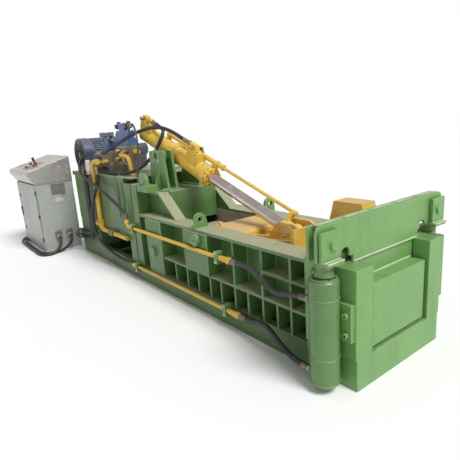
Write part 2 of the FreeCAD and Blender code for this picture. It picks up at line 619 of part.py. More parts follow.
def valves():
    block = box((-2975, -2690), (-262, -160), (1112, 1304))
    legs = [box((x, f"{x} + 40"), (-250, -172), ("tankTop + 8", 1112)) for x in (-2960, -2745)]
    small = box((-3265, -3090), (-330, -170), ("tankTop + 8", 1250))
    bridge = box((-3091, -2974), (-250, -190), (1130, 1200))
    ports = [disc("Y", 26, (-288, -262), (x, z)) for x in (-2920, -2750) for z in (1170, 1250)]
    tee = [disc("Y", 16, (-405, -329), (-3125, 1228)),
           disc("X", 20, (-3150, -3100), (-405, 1240))]
    drop = [disc("Y", 15, (-462, -329), (-3150, 1102)),
            disc("Z", 19, (1080, 1102), (-3150, -455))]
    suction = box((-3530, -3425), (-330, -210), ("tankTop + 8", 1140))
    suction = join(suction, disc("X", 19, (-3426, -3395), (-318, 1100)))
    node("manifold", group(join(block, *legs, small, bridge, *ports, *tee, *drop), suction))
    main = join(box((-2965, -2700), (-252, -165), (1304, 1376)),
                box((-3000, -2720), (-246, -170), (1376, 1452)),
                box((-2935, -2800), (-240, -176), (1452, 1528)))
    second = join(box((-3282, -3150), (-310, -190), (1250, 1340)),
                  box((-3255, -3175), (-290, -210), (1340, 1390)))
    node("directional_valves", group(main, second))
    coils = [disc("X", 25, span, (-208, 1497)) for span in ((-3040, -2935), (-2800, -2710))]
    coils += [disc("X", 24, span, (-250, 1365)) for span in ((-3335, -3255), (-3175, -3100))]
    node("solenoids", group(*coils))
    place = (-3367, -462)
    canister = join(disc("Z", 29, ("tankTop + 34", 1152), place),
                    cone("Z", (29, 18), (1152, 1168), place),
                    disc("Z", 21, ("tankTop + 14", "tankTop + 34"), place),
                    box((-3400, -3334), (-492, -400), ("tankTop + 8", "tankTop + 15")))
    node("oil_filter", canister)


def suctionLine():
    """Yellow return pipe with its elbow, rubber coupling and the shut-off valve's body."""
    pipe, length = tube(24, [(-3120, -450, 1152), (-3262, -450, 1152), (-3262, -450, 400),
                             (-2976, -450, 400)], [70, 70])
    print(f"return pipe: {length:.0f} long")
    coupling = disc("X", 36, (-2996, -2890), (-450, 400))
    tail = disc("X", 24, (-2890, -2572), (-450, 400))
    valve = box((-3292, -3232), (-484, -424), (440, 508))
    stem = disc("Y", 9, (-496, -484), (-3262, 474))
    elbow = disc("X", 30, (-3140, -3100), (-450, 1152))
    bolt = box((-3136, -3104), (-450, -330), (1138, 1166))
    hold = box((-3274, -3250), (-450, -420), (900, 940))
    node("return_pipe", join(pipe, coupling, tail, valve, stem, elbow, bolt, hold))
    lever = join(disc("Y", 16, (-506, "-496 - gap"), (-3262, 474)),
                 box((-3262, -3167), (-505, "-497"), (466, 482)))
    node("valve_lever", lever)


def pressurePipes():
    """Two hard pipes along the near side, from the rear column to the gate hoses."""
    for label, height, front in (("upper_pipe", "upperPipeZ", -1000),
                                 ("lower_pipe", "lowerPipeZ", -935)):
        place = ("pipeY", height)
        rise = 70 if label == "upper_pipe" else 0
        y, z = size["pipeY"], size[height]
        if rise:
            bend, length = tube(size["pipeRadius"], [(-2440, y, z), (-2535, y, z),
                                                     (-2535, y, z + rise)], [34])
            rear = [bend, disc("Z", 20, (f"{height} + {rise} - 24", f"{height} + {rise}"),
                               (-2535, "pipeY"))]
        else:
            rear = [disc("X", 20, (-2490, -2440), place), disc("X", 17, (-2510, -2489), place)]
        sleeve = join(disc("X", "pipeRadius", (-2441, front), place), *rear,
                      cone("X", (19, 23), (front, f"{front} + 100"), place),
                      disc("X", 19, (f"{front} + 100", f"{front} + 130"), place))
        node(label, sleeve)
    saddles = [box((x, f"{x} + 36"), ("pipeY - 24", y), (f"{z} - 46", f"{z} + 46"))
               for x, y, z in ((-2420, -425, "upperPipeZ"), (-1040, -420, "upperPipeZ"),
                               (-2420, -425, "lowerPipeZ"), (-985, -420, "lowerPipeZ"))]
    holes = [disc("X", "pipeRadius + fit", (f"{x} - 1", f"{x} + 37"), ("pipeY", z))
             for x, z in ((-2420, "upperPipeZ"), (-1040, "upperPipeZ"), (-2420, "lowerPipeZ"),
                          (-985, "lowerPipeZ"))]
    node("pipe_clamps", group(*[cut(a, b) for a, b in zip(saddles, holes)]))


def lockHousing():
    """Sheet-metal hood on the far flange, open below."""
    low, top = size["flangeZ"], 870
    base = Part.makePolygon([Vector(x, y, low) for x, y in
                             ((-600, 252), (-285, 252), (-285, 415), (-600, 415), (-600, 252))])
    head = Part.makePolygon([Vector(x, y, top) for x, y in
                             ((-556, 262), (-325, 262), (-325, 405), (-556, 405), (-556, 262))])
    inner = Part.makePolygon([Vector(x, y, low) for x, y in
                              ((-592, 260), (-293, 260), (-293, 407), (-592, 407), (-592, 260))])
    lower = Part.makePolygon([Vector(x, y, top - 8) for x, y in
                              ((-549, 270), (-332, 270), (-332, 397), (-549, 397), (-549, 270))])
    item = doc.addObject("Part::Feature", "Hood")
    item.Shape = (Part.makeLoft([base, head], True, True)
                  .cut(Part.makeLoft([inner, lower], True, True)))
    node("lock_housing", item)


# ---------------------------------------------------------------- control desk

def desk():
    wall = size["deskSheet"]
    shell = box(("deskRear", "deskFront"), ("deskNear", "deskFar"), (0, "deskTop"))
    inside = box(("deskRear + deskSheet", "deskFront - deskSheet"),
                 ("deskNear - 1", "deskFar - deskSheet"), (40, "deskTop - deskSheet"))
    conns = [box(("deskFront", "deskFront + 20"), (f"{y} - 32", f"{y} + 32"), (160, 262))
             for y in (-662, -520)]
    conns += [disc("X", 20, ("deskFront + 19", "deskFront + 34"), (y, z))
              for y, z in ((-662, 187), (-520, 190))]
    conns += [disc("X", 23, ("deskRear - 22", "deskRear"), (y, z))
              for y, z in ((-560, 134), (-700, 120))]
    badge = box(("deskFront", "deskFront + 3"), (-700, -540), (600, 720))
    node("desk_body", join(cut(shell, inside), *conns, badge))
    rise = ((size["panelFarTop"] - size["panelNearTop"])
            / (size["deskFar"] - size["panelNear"]))
    near, far = size["panelNear"], size["deskFar"]
    outer = [(near, 985), (near, size["panelNearTop"]), (far, size["panelFarTop"]),
             (far, size["deskTop"]), (size["deskNear"], size["deskTop"])]
    inner = [(near + wall, 985 + wall), (near + wall, size["panelNearTop"] - wall),
             (far - wall, size["panelFarTop"] - 2 * wall), (far - wall, size["deskTop"] + wall),
             (size["deskNear"] + wall, size["deskTop"] + wall)]
    rear, front = size["deskRear"] - 30, size["deskFront"] + 10
    hood = cut(plate("X", (rear, front), outer), plate("X", (rear + wall, front - wall), inner))
    spots = {"start_button": (-4720, -800, 15), "stop_button": (-4640, -800, 15),
             "emergency_stop": (-4560, -740, 24), "joystick": (-4640, -700, 18)}
    holes = []
    lean = Rotation(Vector(1, 0, 0), math.degrees(math.atan(rise)))
    for label, (x, y, radius) in spots.items():
        top = size["panelNearTop"] + (y - near) * rise
        hole = doc.addObject("Part::Cylinder", "Hole")
        hole.Radius = radius * 0.6 + (3 if label == "joystick" else size["gap"])
        hole.Height = 40
        hole.Placement = Placement(Vector(x, y, top) - lean.multVec(Vector(0, 0, 20)), lean)
        holes.append(hole)
        stem = doc.addObject("Part::Cylinder", "Stem")
        stem.Radius = radius * 0.6
        stem.Height = 40
        stem.Placement = Placement(Vector(0, 0, -24), Rotation())
        if label == "joystick":
            cap = doc.addObject("Part::Cone", "Cap")
            cap.Radius1, cap.Radius2, cap.Height = radius * 0.5, radius, 90
        else:
            cap = doc.addObject("Part::Cylinder", "Cap")
            cap.Radius = radius
            cap.Height = 14
        cap.Placement = Placement(Vector(0, 0, 12), Rotation())
        button = join(stem, cap)
        if label == "joystick":
            pivot = doc.addObject("Part::Cylinder", "Pivot")
            pivot.Radius, pivot.Height = radius * 0.6 + 1.8, 11
            pivot.Placement = Placement(Vector(-5.5, 0, -2), Rotation(Vector(0, 1, 0), 90))
            button = join(button, pivot)
        button.Placement = Placement(Vector(x, y, top), lean)
        node(label, button)
    node("control_panel", cut(hood, *holes))
    leaf = box(("deskRear + 6", "deskFront - 6"), ("deskNear - 12", "deskNear - 1"),
               (46, "deskTop - 10"))
    hollow = box(("deskRear + 26", "deskFront - 26"), ("deskNear - 8", "deskNear"),
                 (66, "deskTop - 30"))
    knuckles = [disc("Z", 8.5, (z, z + 50), ("deskFront - 6", "deskNear - 12"))
                for z in (150, 450, 750)]
    node("desk_door", join(cut(leaf, hollow), *knuckles))


def hoses():
    hose("gate_hose_upper", 36,
         [(-870, -452, 532), (-800, -452, 532), (-700, -458, 545), (-590, -466, 518),
          (-500, -478, 468), (-390, -492, 448), (-270, -506, 478), (-180, -514, 502),
          (-106, -514, 502)])
    hose("gate_hose_lower", 36,
         [(-805, -452, 142), (-735, -452, 142), (-640, -460, 160), (-550, -470, 186),
          (-465, -480, 168), (-385, -490, 122), (-290, -502, 88), (-190, -514, 76),
          (-106, -514, 76)])
    hose("feed_hose_upper", 34,
         [(-3150, -405, 1240), (-3225, -405, 1240), (-3320, -418, 1248), (-3420, -444, 1234),
          (-3500, -464, 1198), (-3550, -484, 1144), (-3554, -500, 1076), (-3510, -509, 1024),
          (-3430, -513, 992), (-3310, -513, 958), (-3180, -512, 928), (-3040, -510, 890),
          (-2870, -506, 842), (-2720, -498, 786), (-2622, -484, 738), (-2562, -467, 694),
          (-2535, -452, 648), (-2535, -452, 602)])
    hose("feed_hose_lower", 34,
         [(-3150, -455, 1080), (-3150, -455, 1015), (-3157, -464, 930), (-3190, -488, 830),
          (-3250, -508, 720), (-3302, -512, 600), (-3322, -512, 470), (-3304, -506, 350),
          (-3225, -492, 260), (-3090, -476, 200), (-2920, -462, 158), (-2750, -454, 142),
          (-2620, -452, 142), (-2510, -452, 142)])
    hose("suction_hose_a", 40,
         [(-3500, -330, 1085), (-3500, -375, 1085), (-3501, -424, 1066), (-3504, -456, 1022),
          (-3510, -470, 950), (-3518, -472, 820), (-3520, -472, 640), (-3512, -470, 480),
          (-3528, -468, 370), (-3600, -465, 298), (-3720, -463, 268), (-3850, -462, 262),
          (-3960, -462, 262)])
    hose("suction_hose_b", 40,
         [(-3455, -330, 1085), (-3455, -375, 1085), (-3456, -424, 1066), (-3458, -456, 1022),
          (-3463, -470, 950), (-3472, -472, 820), (-3474, -472, 640), (-3464, -470, 470),
          (-3482, -468, 340), (-3560, -465, 248), (-3690, -462, 208), (-3830, -462, 204),
          (-3960, -462, 204)])
    hose("lid_hose_front", 34,
         [(-3100, -405, 1240), (-3030, -405, 1240), (-2930, -382, 1268), (-2800, -338, 1325),
          (-2650, -285, 1388), (-2510, -230, 1436), (-2355, -180, 1464), (-2210, -136, 1460),
          (-2090, -92, 1412), (-1992.82, -50, 1344.67), (-1924.97, -50, 1320.59)])
    hose("lid_hose_rear", 34,
         [(-3395, -318, 1100), (-3340, -318, 1100), (-3270, -354, 1074), (-3180, -374, 1052),
          (-3060, -378, 1036), (-2920, -370, 1032), (-2780, -352, 1034), (-2640, -328, 1042),
          (-2520, -300, 1066), (-2440, -262, 1106), (-2400, -215, 1152), (-2386, -166, 1202),
          (-2372, -126, 1262), (-2332, -106, 1326), (-2302, -88, 1380), (-2314, -66, 1422),
          (-2358, -46, 1446), (-2422, -30, 1462), (-2493.33, -20, 1483.08), (-2564.01, -20, 1508.17)])
    hose("desk_cable_a", 34,
         [(-4240, -662, 187), (-4190, -662, 187), (-4146, -670, 150), (-4128, -694, 100),
          (-4118, -734, 56), (-4106, -788, 25), (-4096, -850, 17), (-4126, -906, 17),
          (-4190, -936, 17), (-4300, -946, 17), (-4450, -940, 17), (-4640, -946, 17),
          (-4840, -940, 17), (-5030, -942, 17), (-5190, -926, 17), (-5310, -880, 17),
          (-5385, -800, 17), (-5402, -705, 20), (-5382, -630, 50), (-5342, -584, 98),
          (-5294, -560, 134), (-5236, -560, 134)])
    hose("desk_cable_b", 34,
         [(-4240, -520, 190), (-4190, -520, 190), (-4150, -532, 150), (-4142, -562, 100),
          (-4146, -608, 58), (-4156, -664, 27), (-4160, -725, 17), (-4156, -790, 17),
          (-4172, -850, 17), (-4226, -890, 17), (-4320, -905, 17), (-4460, -900, 17),
          (-4640, -905, 17), (-4830, -898, 17), (-5010, -900, 17), (-5150, -884, 17),
          (-5258, -846, 17), (-5322, -792, 28), (-5330, -736, 70), (-5290, -700, 120),
          (-5236, -700, 120)])


baseFrame()
gateFrame()
gateBracket()
gateCylinders()
gateRods()
crossbeam()
door()
wall()
rearHousing()
trunnionStands()
liftingLugs()
lid()
lidCylinder()
mainRam()
tank()
motor()
valves()
suctionLine()
pressurePipes()
lockHousing()
desk()
hoses()

doc.recompute()
failed = [item.Label for item in doc.Objects
          if {"Invalid", "Error"} & set(item.State)]
broken = [label for label, item in nodes.items()
          if item.Shape.isNull() or not item.Shape.isValid() or item.Shape.Volume <= 0]
if failed or broken:
    raise RuntimeError(f"failed: {failed}, broken: {broken}")

os.makedirs("parts", exist_ok=True)
for label, item in nodes.items():
    item.Shape.exportStep(f"parts/{label}.step")
print(len(nodes), "nodes")
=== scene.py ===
import bmesh
import bpy
import math
from mathutils import Matrix, Vector


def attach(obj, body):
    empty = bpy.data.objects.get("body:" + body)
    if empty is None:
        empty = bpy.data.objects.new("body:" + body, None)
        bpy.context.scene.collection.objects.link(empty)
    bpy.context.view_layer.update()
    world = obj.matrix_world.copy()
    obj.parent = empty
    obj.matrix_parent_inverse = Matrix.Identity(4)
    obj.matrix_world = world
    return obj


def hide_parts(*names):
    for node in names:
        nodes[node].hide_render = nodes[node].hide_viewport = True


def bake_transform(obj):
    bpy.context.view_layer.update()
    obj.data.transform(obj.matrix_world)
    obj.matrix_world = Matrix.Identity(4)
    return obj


# Baling press for metal scrap. Metres, X towards the gate, Y across, Z up from the floor.

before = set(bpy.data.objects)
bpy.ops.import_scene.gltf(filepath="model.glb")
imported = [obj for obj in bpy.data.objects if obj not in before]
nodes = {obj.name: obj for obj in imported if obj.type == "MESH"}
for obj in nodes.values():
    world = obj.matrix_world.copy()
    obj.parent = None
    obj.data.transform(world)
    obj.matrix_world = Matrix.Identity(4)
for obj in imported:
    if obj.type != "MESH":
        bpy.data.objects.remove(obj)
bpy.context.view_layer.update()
scene = bpy.context.scene


# camera

camera = {"place": (1.3685, -2.1248, 1.4562), "ahead": (-0.77513, 0.58324, -0.24291),
          "roll": 4.02, "lens": 33.37}


def addCamera():
    ahead = Vector(camera["ahead"]).normalized()
    right = ahead.cross(Vector((0, 0, 1))).normalized()
    right = Matrix.Rotation(math.radians(camera["roll"]), 3, ahead) @ right
    above = right.cross(ahead)
    data = bpy.data.cameras.new("camera")
    data.lens = camera["lens"]
    eye = bpy.data.objects.new("camera", data)
    eye.matrix_world = Matrix.Translation(camera["place"]) @ Matrix(
        (right, above, -ahead)).transposed().to_4x4()
    scene.collection.objects.link(eye)
    scene.camera = eye


addCamera()
print("camera set")


# shading: sockets that can be summed and scaled, and a maker of nodes

class Wire:
    def __init__(self, finish, socket):
        self.finish = finish
        self.socket = socket

    def maths(self, operation, first, second):
        return self.finish.node("Math", {"operation": operation}, {0: first, 1: second})

    def __add__(self, other):
        return self.maths("ADD", self, other)

    def __sub__(self, other):
        return self.maths("SUBTRACT", self, other)

    def __rsub__(self, other):
        return self.maths("SUBTRACT", other, self)

    def __mul__(self, other):
        return self.maths("MULTIPLY", self, other)

    __radd__ = __add__
    __rmul__ = __mul__


class Finish:
    def __init__(self, name):
        self.material = bpy.data.materials.new(name)
        self.material.use_nodes = True
        self.tree = self.material.node_tree
        self.shader = self.tree.nodes["Principled BSDF"]
        self.place = self.node("TexCoord", out="Object")

    def node(self, kind, settings=None, sockets=None, out=0):
        item = self.tree.nodes.new("ShaderNode" + kind)
        for key, value in (settings or {}).items():
            setattr(item, key, value)
        for key, value in (sockets or {}).items():
            self.feed(item.inputs[key], value)
        return Wire(self, item.outputs[out])

    def feed(self, socket, value):
        if isinstance(value, Wire):
            self.tree.links.new(value.socket, socket)
        else:
            socket.default_value = value

    def set(self, **values):
        for key, value in values.items():
            self.feed(self.shader.inputs[key.replace("_", " ")], value)

    def noise(self, scale, detail=4, stretch=(1, 1, 1), rough=0.55):
        place = self.node("VectorMath", {"operation": "MULTIPLY"}, {0: self.place, 1: stretch})
        return self.node("TexNoise", {}, {"Vector": place, "Scale": scale, "Detail": detail,
                                          "Roughness": rough})

    def smooth(self, value, low, high):
        return self.node("MapRange", {"interpolation_type": "SMOOTHSTEP"},
                         {"Value": value, "From Min": low, "From Max": high})

    def blend(self, amount, first, second):
        colours = [(*colour, 1) if isinstance(colour, tuple) else colour
                   for colour in (first, second)]
        return self.node("Mix", {"data_type": "RGBA"}, {0: amount, 6: colours[0],
                                                        7: colours[1]}, out=2)

    def edges(self, radius):
        rounded = self.node("Bevel", {"samples": 4}, {"Radius": radius})
        flat = self.node("NewGeometry", out="Normal")
        same = self.node("VectorMath", {"operation": "DOT_PRODUCT"}, {0: rounded, 1: flat},
                         out="Value")
        return 1 - same

    def bump(self, height, strength, distance):
        self.set(Normal=self.node("Bump", {}, {"Height": height, "Strength": strength,
                                               "Distance": distance}))


finishes = {}


def paint(name, colour, shade, dust=(0.42, 0.36, 0.25), dustiness=0.5, wear=0.6,
          worn=(0.55, 0.6, 0.45), grime=0.35, soot=(0.05, 0.05, 0.035), rough=0.36, patch=1.0,
          spread=0.35):
    finish = Finish(name)
    up = finish.node("SeparateXYZ", {}, {0: finish.node("TexCoord", out="Normal")}, out="Z")
    clouds = finish.smooth(finish.noise(2.3 * patch, 5), 0.35, 0.68)
    mottle = finish.noise(17 * patch, 5)
    streaks = finish.smooth(finish.noise(9, 4, (1, 1, 0.18)), 0.53, 0.75)
    scratches = finish.smooth(finish.noise(46, 3, (0.16, 1, 1)), 0.68, 0.74)
    grain = finish.noise(310, 2)
    body = finish.blend(clouds * 0.6, colour, shade)
    body = finish.blend(finish.smooth(mottle, 0.42, 0.75) * 0.2, body,
                        tuple(min(1, c * 1.35 + 0.02) for c in colour))
    body = finish.blend(streaks * grime, body, soot)
    lying = finish.smooth(up, 0.35, 0.95) * finish.smooth(mottle + clouds * 0.35, spread,
                                                          spread + 0.45)
    powder = finish.smooth(finish.noise(60, 4), 0.2, 0.75) * 0.45 + 0.55
    cover = lying * powder * dustiness
    body = finish.blend(cover, body, dust)
    rubbed = finish.smooth(finish.edges(0.007) * (mottle + 0.35), 0.03, 0.12) * wear
    body = finish.blend(rubbed * 0.75, body, worn)
    body = finish.blend(scratches * wear * 0.22, body, worn)
    finish.set(Base_Color=body,
               Roughness=cover * 0.4 + streaks * 0.12 + mottle * 0.22 + (rough - 0.1))
    finish.shader.inputs["Coat Weight"].default_value = 0.12
    finish.shader.inputs["Coat Roughness"].default_value = 0.25
    finish.bump(grain * 0.35 + mottle * 0.9 + scratches * 0.5, 0.32, 0.0016)
    finishes[name] = finish.material


def metal(name, colour, shade, rough, stretch, worn=None, fine=240, bite=0.35):
    finish = Finish(name)
    brushed = finish.noise(fine, 3, stretch)
    clouds = finish.smooth(finish.noise(7, 5), 0.3, 0.72)
    stains = finish.smooth(finish.noise(22, 5), 0.52, 0.72)
    body = finish.blend(clouds, colour, shade)
    body = finish.blend(stains * 0.45, body, worn or shade)
    finish.set(Base_Color=body, Roughness=brushed * 0.22 + clouds * 0.1 + stains * 0.14 + rough,
               Metallic=1 - stains * 0.25)
    finish.bump(brushed, bite, 0.0006)
    finishes[name] = finish.material


def plain(name, colour, shade, rough, scale=34, dust=(0.4, 0.36, 0.28), dustiness=0.3, bite=0.3):
    finish = Finish(name)
    up = finish.node("SeparateXYZ", {}, {0: finish.node("TexCoord", out="Normal")}, out="Z")
    mottle = finish.noise(scale, 5)
    grain = finish.noise(420, 2)
    cover = finish.smooth(up, 0.2, 0.95) * finish.smooth(mottle, 0.35, 0.7) * dustiness
    film = finish.smooth(finish.noise(11, 4), 0.45, 0.75) * dustiness * 0.4
    body = finish.blend(finish.smooth(mottle, 0.35, 0.7), colour, shade)
    body = finish.blend(cover + film, body, dust)
    rubbed = finish.smooth(finish.edges(0.004) * mottle, 0.03, 0.12)
    body = finish.blend(rubbed * 0.35, body, dust)
    finish.set(Base_Color=body, Roughness=mottle * 0.2 + cover * 0.4 + rough)
    finish.bump(grain * 0.5 + mottle * 0.5, bite, 0.0008)
    finishes[name] = finish.material


def scrapSteel(name):
    # steel polished and dusted by the scrap that slides over it
    finish = Finish(name)
    up = finish.node("SeparateXYZ", {}, {0: finish.node("TexCoord", out="Normal")}, out="Z")
    drags = finish.smooth(finish.noise(60, 4, (0.08, 1, 1)), 0.45, 0.72)
    clouds = finish.smooth(finish.noise(3.2, 5), 0.3, 0.7)
    rust = finish.smooth(finish.noise(13, 6), 0.5, 0.72)
    left = finish.smooth(finish.noise(4.1, 4, (1, 1, 1.6)), 0.56, 0.66)
    body = finish.blend(clouds, (0.4, 0.35, 0.27), (0.27, 0.26, 0.2))
    body = finish.blend(rust * 0.5, body, (0.27, 0.15, 0.08))
    body = finish.blend(left * 0.7, body, (0.16, 0.27, 0.11))
    body = finish.blend(drags * 0.4, body, (0.5, 0.46, 0.4))
    body = finish.blend(finish.smooth(up, 0.4, 0.9) * 0.5, body, (0.48, 0.41, 0.32))
    finish.set(Base_Color=body, Roughness=0.75 - drags * 0.3 + rust * 0.15,
               Metallic=drags * 0.35)
    finish.bump(drags * 0.4 + rust * 0.6, 0.45, 0.002)
    finishes[name] = finish.material


paint("greenPaint", (0.115, 0.26, 0.07), (0.09, 0.21, 0.055), dustiness=0.35, grime=0.22)
paint("gateGreen", (0.14, 0.3, 0.085), (0.115, 0.26, 0.07), dustiness=0.18, grime=0.1)
paint("wallGreen", (0.085, 0.18, 0.05), (0.065, 0.145, 0.04), dustiness=0.8, grime=0.2,
      dust=(0.5, 0.44, 0.3), spread=0.1)
paint("baseGreen", (0.06, 0.13, 0.035), (0.05, 0.09, 0.03), dustiness=0.4, grime=0.4)
paint("tankGreen", (0.085, 0.165, 0.055), (0.068, 0.13, 0.045), dustiness=0.8, grime=0.3,
      dust=(0.45, 0.42, 0.3))
paint("cylinderGreen", (0.1, 0.215, 0.06), (0.08, 0.175, 0.05), dustiness=0.15, grime=0.12)
paint("yellowPaint", (0.74, 0.49, 0.05), (0.62, 0.38, 0.045), worn=(0.8, 0.68, 0.42),
      dust=(0.56, 0.45, 0.28), dustiness=0.25, soot=(0.2, 0.11, 0.025), grime=0.25, rough=0.3)
paint("lidYellow", (0.7, 0.45, 0.07), (0.58, 0.33, 0.07), worn=(0.75, 0.6, 0.4),
      dust=(0.56, 0.43, 0.3), dustiness=0.6, soot=(0.2, 0.1, 0.03), grime=0.35, patch=1.8)
paint("pipeYellow", (0.68, 0.43, 0.035), (0.5, 0.31, 0.04), worn=(0.7, 0.56, 0.32),
      dustiness=0.2, soot=(0.16, 0.09, 0.02), grime=0.35, patch=2)
paint("motorBlue", (0.12, 0.14, 0.22), (0.085, 0.1, 0.16), worn=(0.35, 0.37, 0.4),
      dustiness=0.4, grime=0.3, patch=3)
paint("coverBlue", (0.075, 0.09, 0.16), (0.055, 0.065, 0.12), worn=(0.35, 0.37, 0.4),
      dustiness=0.2, grime=0.2, patch=3, rough=0.3)
paint("valveBlue", (0.055, 0.13, 0.34), (0.04, 0.085, 0.2), worn=(0.3, 0.36, 0.45),
      dustiness=0.35, grime=0.3, patch=3)
paint("deskGrey", (0.35, 0.365, 0.34), (0.31, 0.33, 0.305), worn=(0.5, 0.5, 0.46),
      dust=(0.45, 0.4, 0.34), dustiness=0.3, wear=0.25, grime=0.1, soot=(0.14, 0.13, 0.1))
paint("deskTop", (0.5, 0.47, 0.43), (0.42, 0.39, 0.36), worn=(0.6, 0.57, 0.52),
      dust=(0.52, 0.46, 0.4), dustiness=0.5, wear=0.4, grime=0.3, soot=(0.2, 0.16, 0.13),
      patch=2.4)
paint("blackPaint", (0.05, 0.052, 0.055), (0.03, 0.032, 0.035), worn=(0.16, 0.16, 0.17),
      dustiness=0.25, grime=0.1, patch=3)
paint("weldMetal", (0.5, 0.53, 0.42), (0.3, 0.36, 0.22), worn=(0.7, 0.7, 0.62), dustiness=0.3,
      grime=0.3, patch=5, rough=0.5)
paint("greenWeld", (0.2, 0.34, 0.14), (0.13, 0.24, 0.09), dustiness=0.3, grime=0.3, patch=5,
      rough=0.5)
metal("chrome", (0.78, 0.7, 0.68), (0.66, 0.58, 0.56), 0.16, (0.015, 1, 1), (0.6, 0.5, 0.46),
      fine=70, bite=0.03)
metal("crimpSteel", (0.3, 0.25, 0.22), (0.2, 0.16, 0.13), 0.3, (1, 1, 1), (0.34, 0.2, 0.11))
metal("bareSteel", (0.42, 0.37, 0.3), (0.3, 0.25, 0.19), 0.34, (1, 1, 1), (0.35, 0.26, 0.15),
      fine=120)
metal("boltSteel", (0.6, 0.6, 0.58), (0.42, 0.42, 0.4), 0.34, (1, 1, 1), (0.35, 0.3, 0.24))
metal("darkSteel", (0.13, 0.13, 0.13), (0.08, 0.08, 0.085), 0.4, (1, 1, 1), (0.16, 0.12, 0.09))
metal("brass", (0.55, 0.36, 0.16), (0.42, 0.25, 0.11), 0.3, (1, 1, 1), (0.3, 0.17, 0.08))
metal("brushedPlate", (0.62, 0.6, 0.56), (0.5, 0.48, 0.45), 0.32, (0.05, 1, 1),
      (0.45, 0.4, 0.35))
plain("rubber", (0.024, 0.024, 0.026), (0.015, 0.015, 0.016), 0.36, dustiness=0.1)
plain("cable", (0.02, 0.02, 0.021), (0.014, 0.014, 0.015), 0.34, dustiness=0.1)
plain("blackPlastic", (0.022, 0.022, 0.024), (0.015, 0.015, 0.016), 0.35)
plain("greyPlastic", (0.16, 0.16, 0.16), (0.11, 0.11, 0.11), 0.4)
plain("beigePlastic", (0.58, 0.53, 0.44), (0.48, 0.43, 0.35), 0.45)
plain("orangePlastic", (0.8, 0.27, 0.03), (0.66, 0.2, 0.02), 0.28)
plain("redPlastic", (0.55, 0.03, 0.02), (0.42, 0.02, 0.015), 0.28)
scrapSteel("scrapSteel")
print(len(finishes), "finishes made")


# mesh tools: each adds its shape to a bmesh

def block(mesh, x, y, z, place=Matrix()):
    middle = [(low + high) / 2 for low, high in (x, y, z)]
    size = [high - low for low, high in (x, y, z)]
    bmesh.ops.create_cube(mesh, size=1, matrix=place @ Matrix.Translation(middle)
                          @ Matrix.Diagonal((*size, 1)))


def lathe(mesh, profile, at, axis=(0, 0, 1), sides=32, loop=False, place=Matrix(), turn=0):
    # profile is (radius, height) from the foot to the head
    spin = Vector(axis).to_track_quat("Z", "Y").to_matrix().to_4x4()
    place = place @ Matrix.Translation(at) @ spin
    rings = []
    for radius, height in profile:
        count = sides if radius > 1e-6 else 1
        rings.append([mesh.verts.new(place @ Vector((
            radius * math.cos(math.tau * (i + turn) / count),
            radius * math.sin(math.tau * (i + turn) / count), height))) for i in range(count)])
    pairs = list(zip(rings, rings[1:])) + ([(rings[-1], rings[0])] if loop else [])
    for low, high in pairs:
        for i in range(sides):
            j = (i + 1) % sides
            corners = [low[i % len(low)], low[j % len(low)], high[j % len(high)],
                       high[i % len(high)]]
            mesh.faces.new(list(dict.fromkeys(corners)))


def ring(mesh, inner, outer, height, at, axis, sides=32, place=Matrix()):
    lathe(mesh, [(inner, 0), (outer, 0), (outer, height), (inner, height)], at, axis, sides,
          True, place)


def prism(mesh, axis, span, outline, place=Matrix()):
    ends = []
    for level in span:
        verts = []
        for a, b in outline:
            spot = [a, b]
            spot.insert("XYZ".index(axis), level)
            verts.append(mesh.verts.new(place @ Vector(spot)))
        ends.append(verts)
    mesh.faces.new(ends[0])
    mesh.faces.new(ends[1][::-1])
    for i in range(len(outline)):
        j = (i + 1) % len(outline)
        mesh.faces.new([ends[0][i], ends[1][i], ends[1][j], ends[0][j]])


def sweep(mesh, points, radii, sides=10, place=Matrix()):
    points = [place @ Vector(point) for point in points]
    if isinstance(radii, (int, float)):
        radii = [radii] * len(points)
    side = (points[1] - points[0]).orthogonal().normalized()
    rings = []
    for i, point in enumerate(points):
        ahead = (points[min(i + 1, len(points) - 1)] - points[max(i - 1, 0)]).normalized()
        side = (side - ahead * side.dot(ahead)).normalized()
        other = ahead.cross(side)
        rings.append([mesh.verts.new(point + (side * math.cos(math.tau * k / sides)
                                              + other * math.sin(math.tau * k / sides))
                                     * radii[i]) for k in range(sides)])
    for low, high in zip(rings, rings[1:]):
        for i in range(sides):
            j = (i + 1) % sides
            mesh.faces.new([low[i], low[j], high[j], high[i]])
    mesh.faces.new(rings[0][::-1])
    mesh.faces.new(rings[-1])


def curved(points, steps=8):
    # a smooth line through the given points
    points = [Vector(point) for point in points]
    ends = [points[0] * 2 - points[1], *points, points[-1] * 2 - points[-2]]
    line = []
    for a, b, c, d in zip(ends, ends[1:], ends[2:], ends[3:]):
        for k in range(steps):
            t = k / steps
            line.append(0.5 * (b * 2 + (c - a) * t + (a * 2 - b * 5 + c * 4 - d) * t ** 2
                               + (b * 3 - a - c * 3 + d) * t ** 3))
    return line + [points[-1]]


def bead(mesh, start, end, radius=0.005, place=Matrix()):
    # a weld seam: a thin bar with the ripples of the overlapping pools
    start, end = Vector(start), Vector(end)
    count = max(3, int((end - start).length / (radius * 0.9)))
    points = [start.lerp(end, i / count) for i in range(count + 1)]
    radii = [radius * (0.82 + 0.2 * (i % 2) + 0.07 * math.sin(i * 1.7)) for i in range(count + 1)]
    sweep(mesh, points, radii, 6, place)


def beadRound(mesh, centre, axis, reach, radius=0.004, place=Matrix()):
    lathe(mesh, [(reach + radius * math.cos(a), radius * math.sin(a))
                 for a in (math.tau * k / 6 for k in range(6))], centre, axis, 48, True, place)


def around(count, shift=0.5):
    # evenly spaced directions on a circle
    turns = [math.tau * (k + shift) / count for k in range(count)]
    return [(math.cos(turn), math.sin(turn)) for turn in turns]


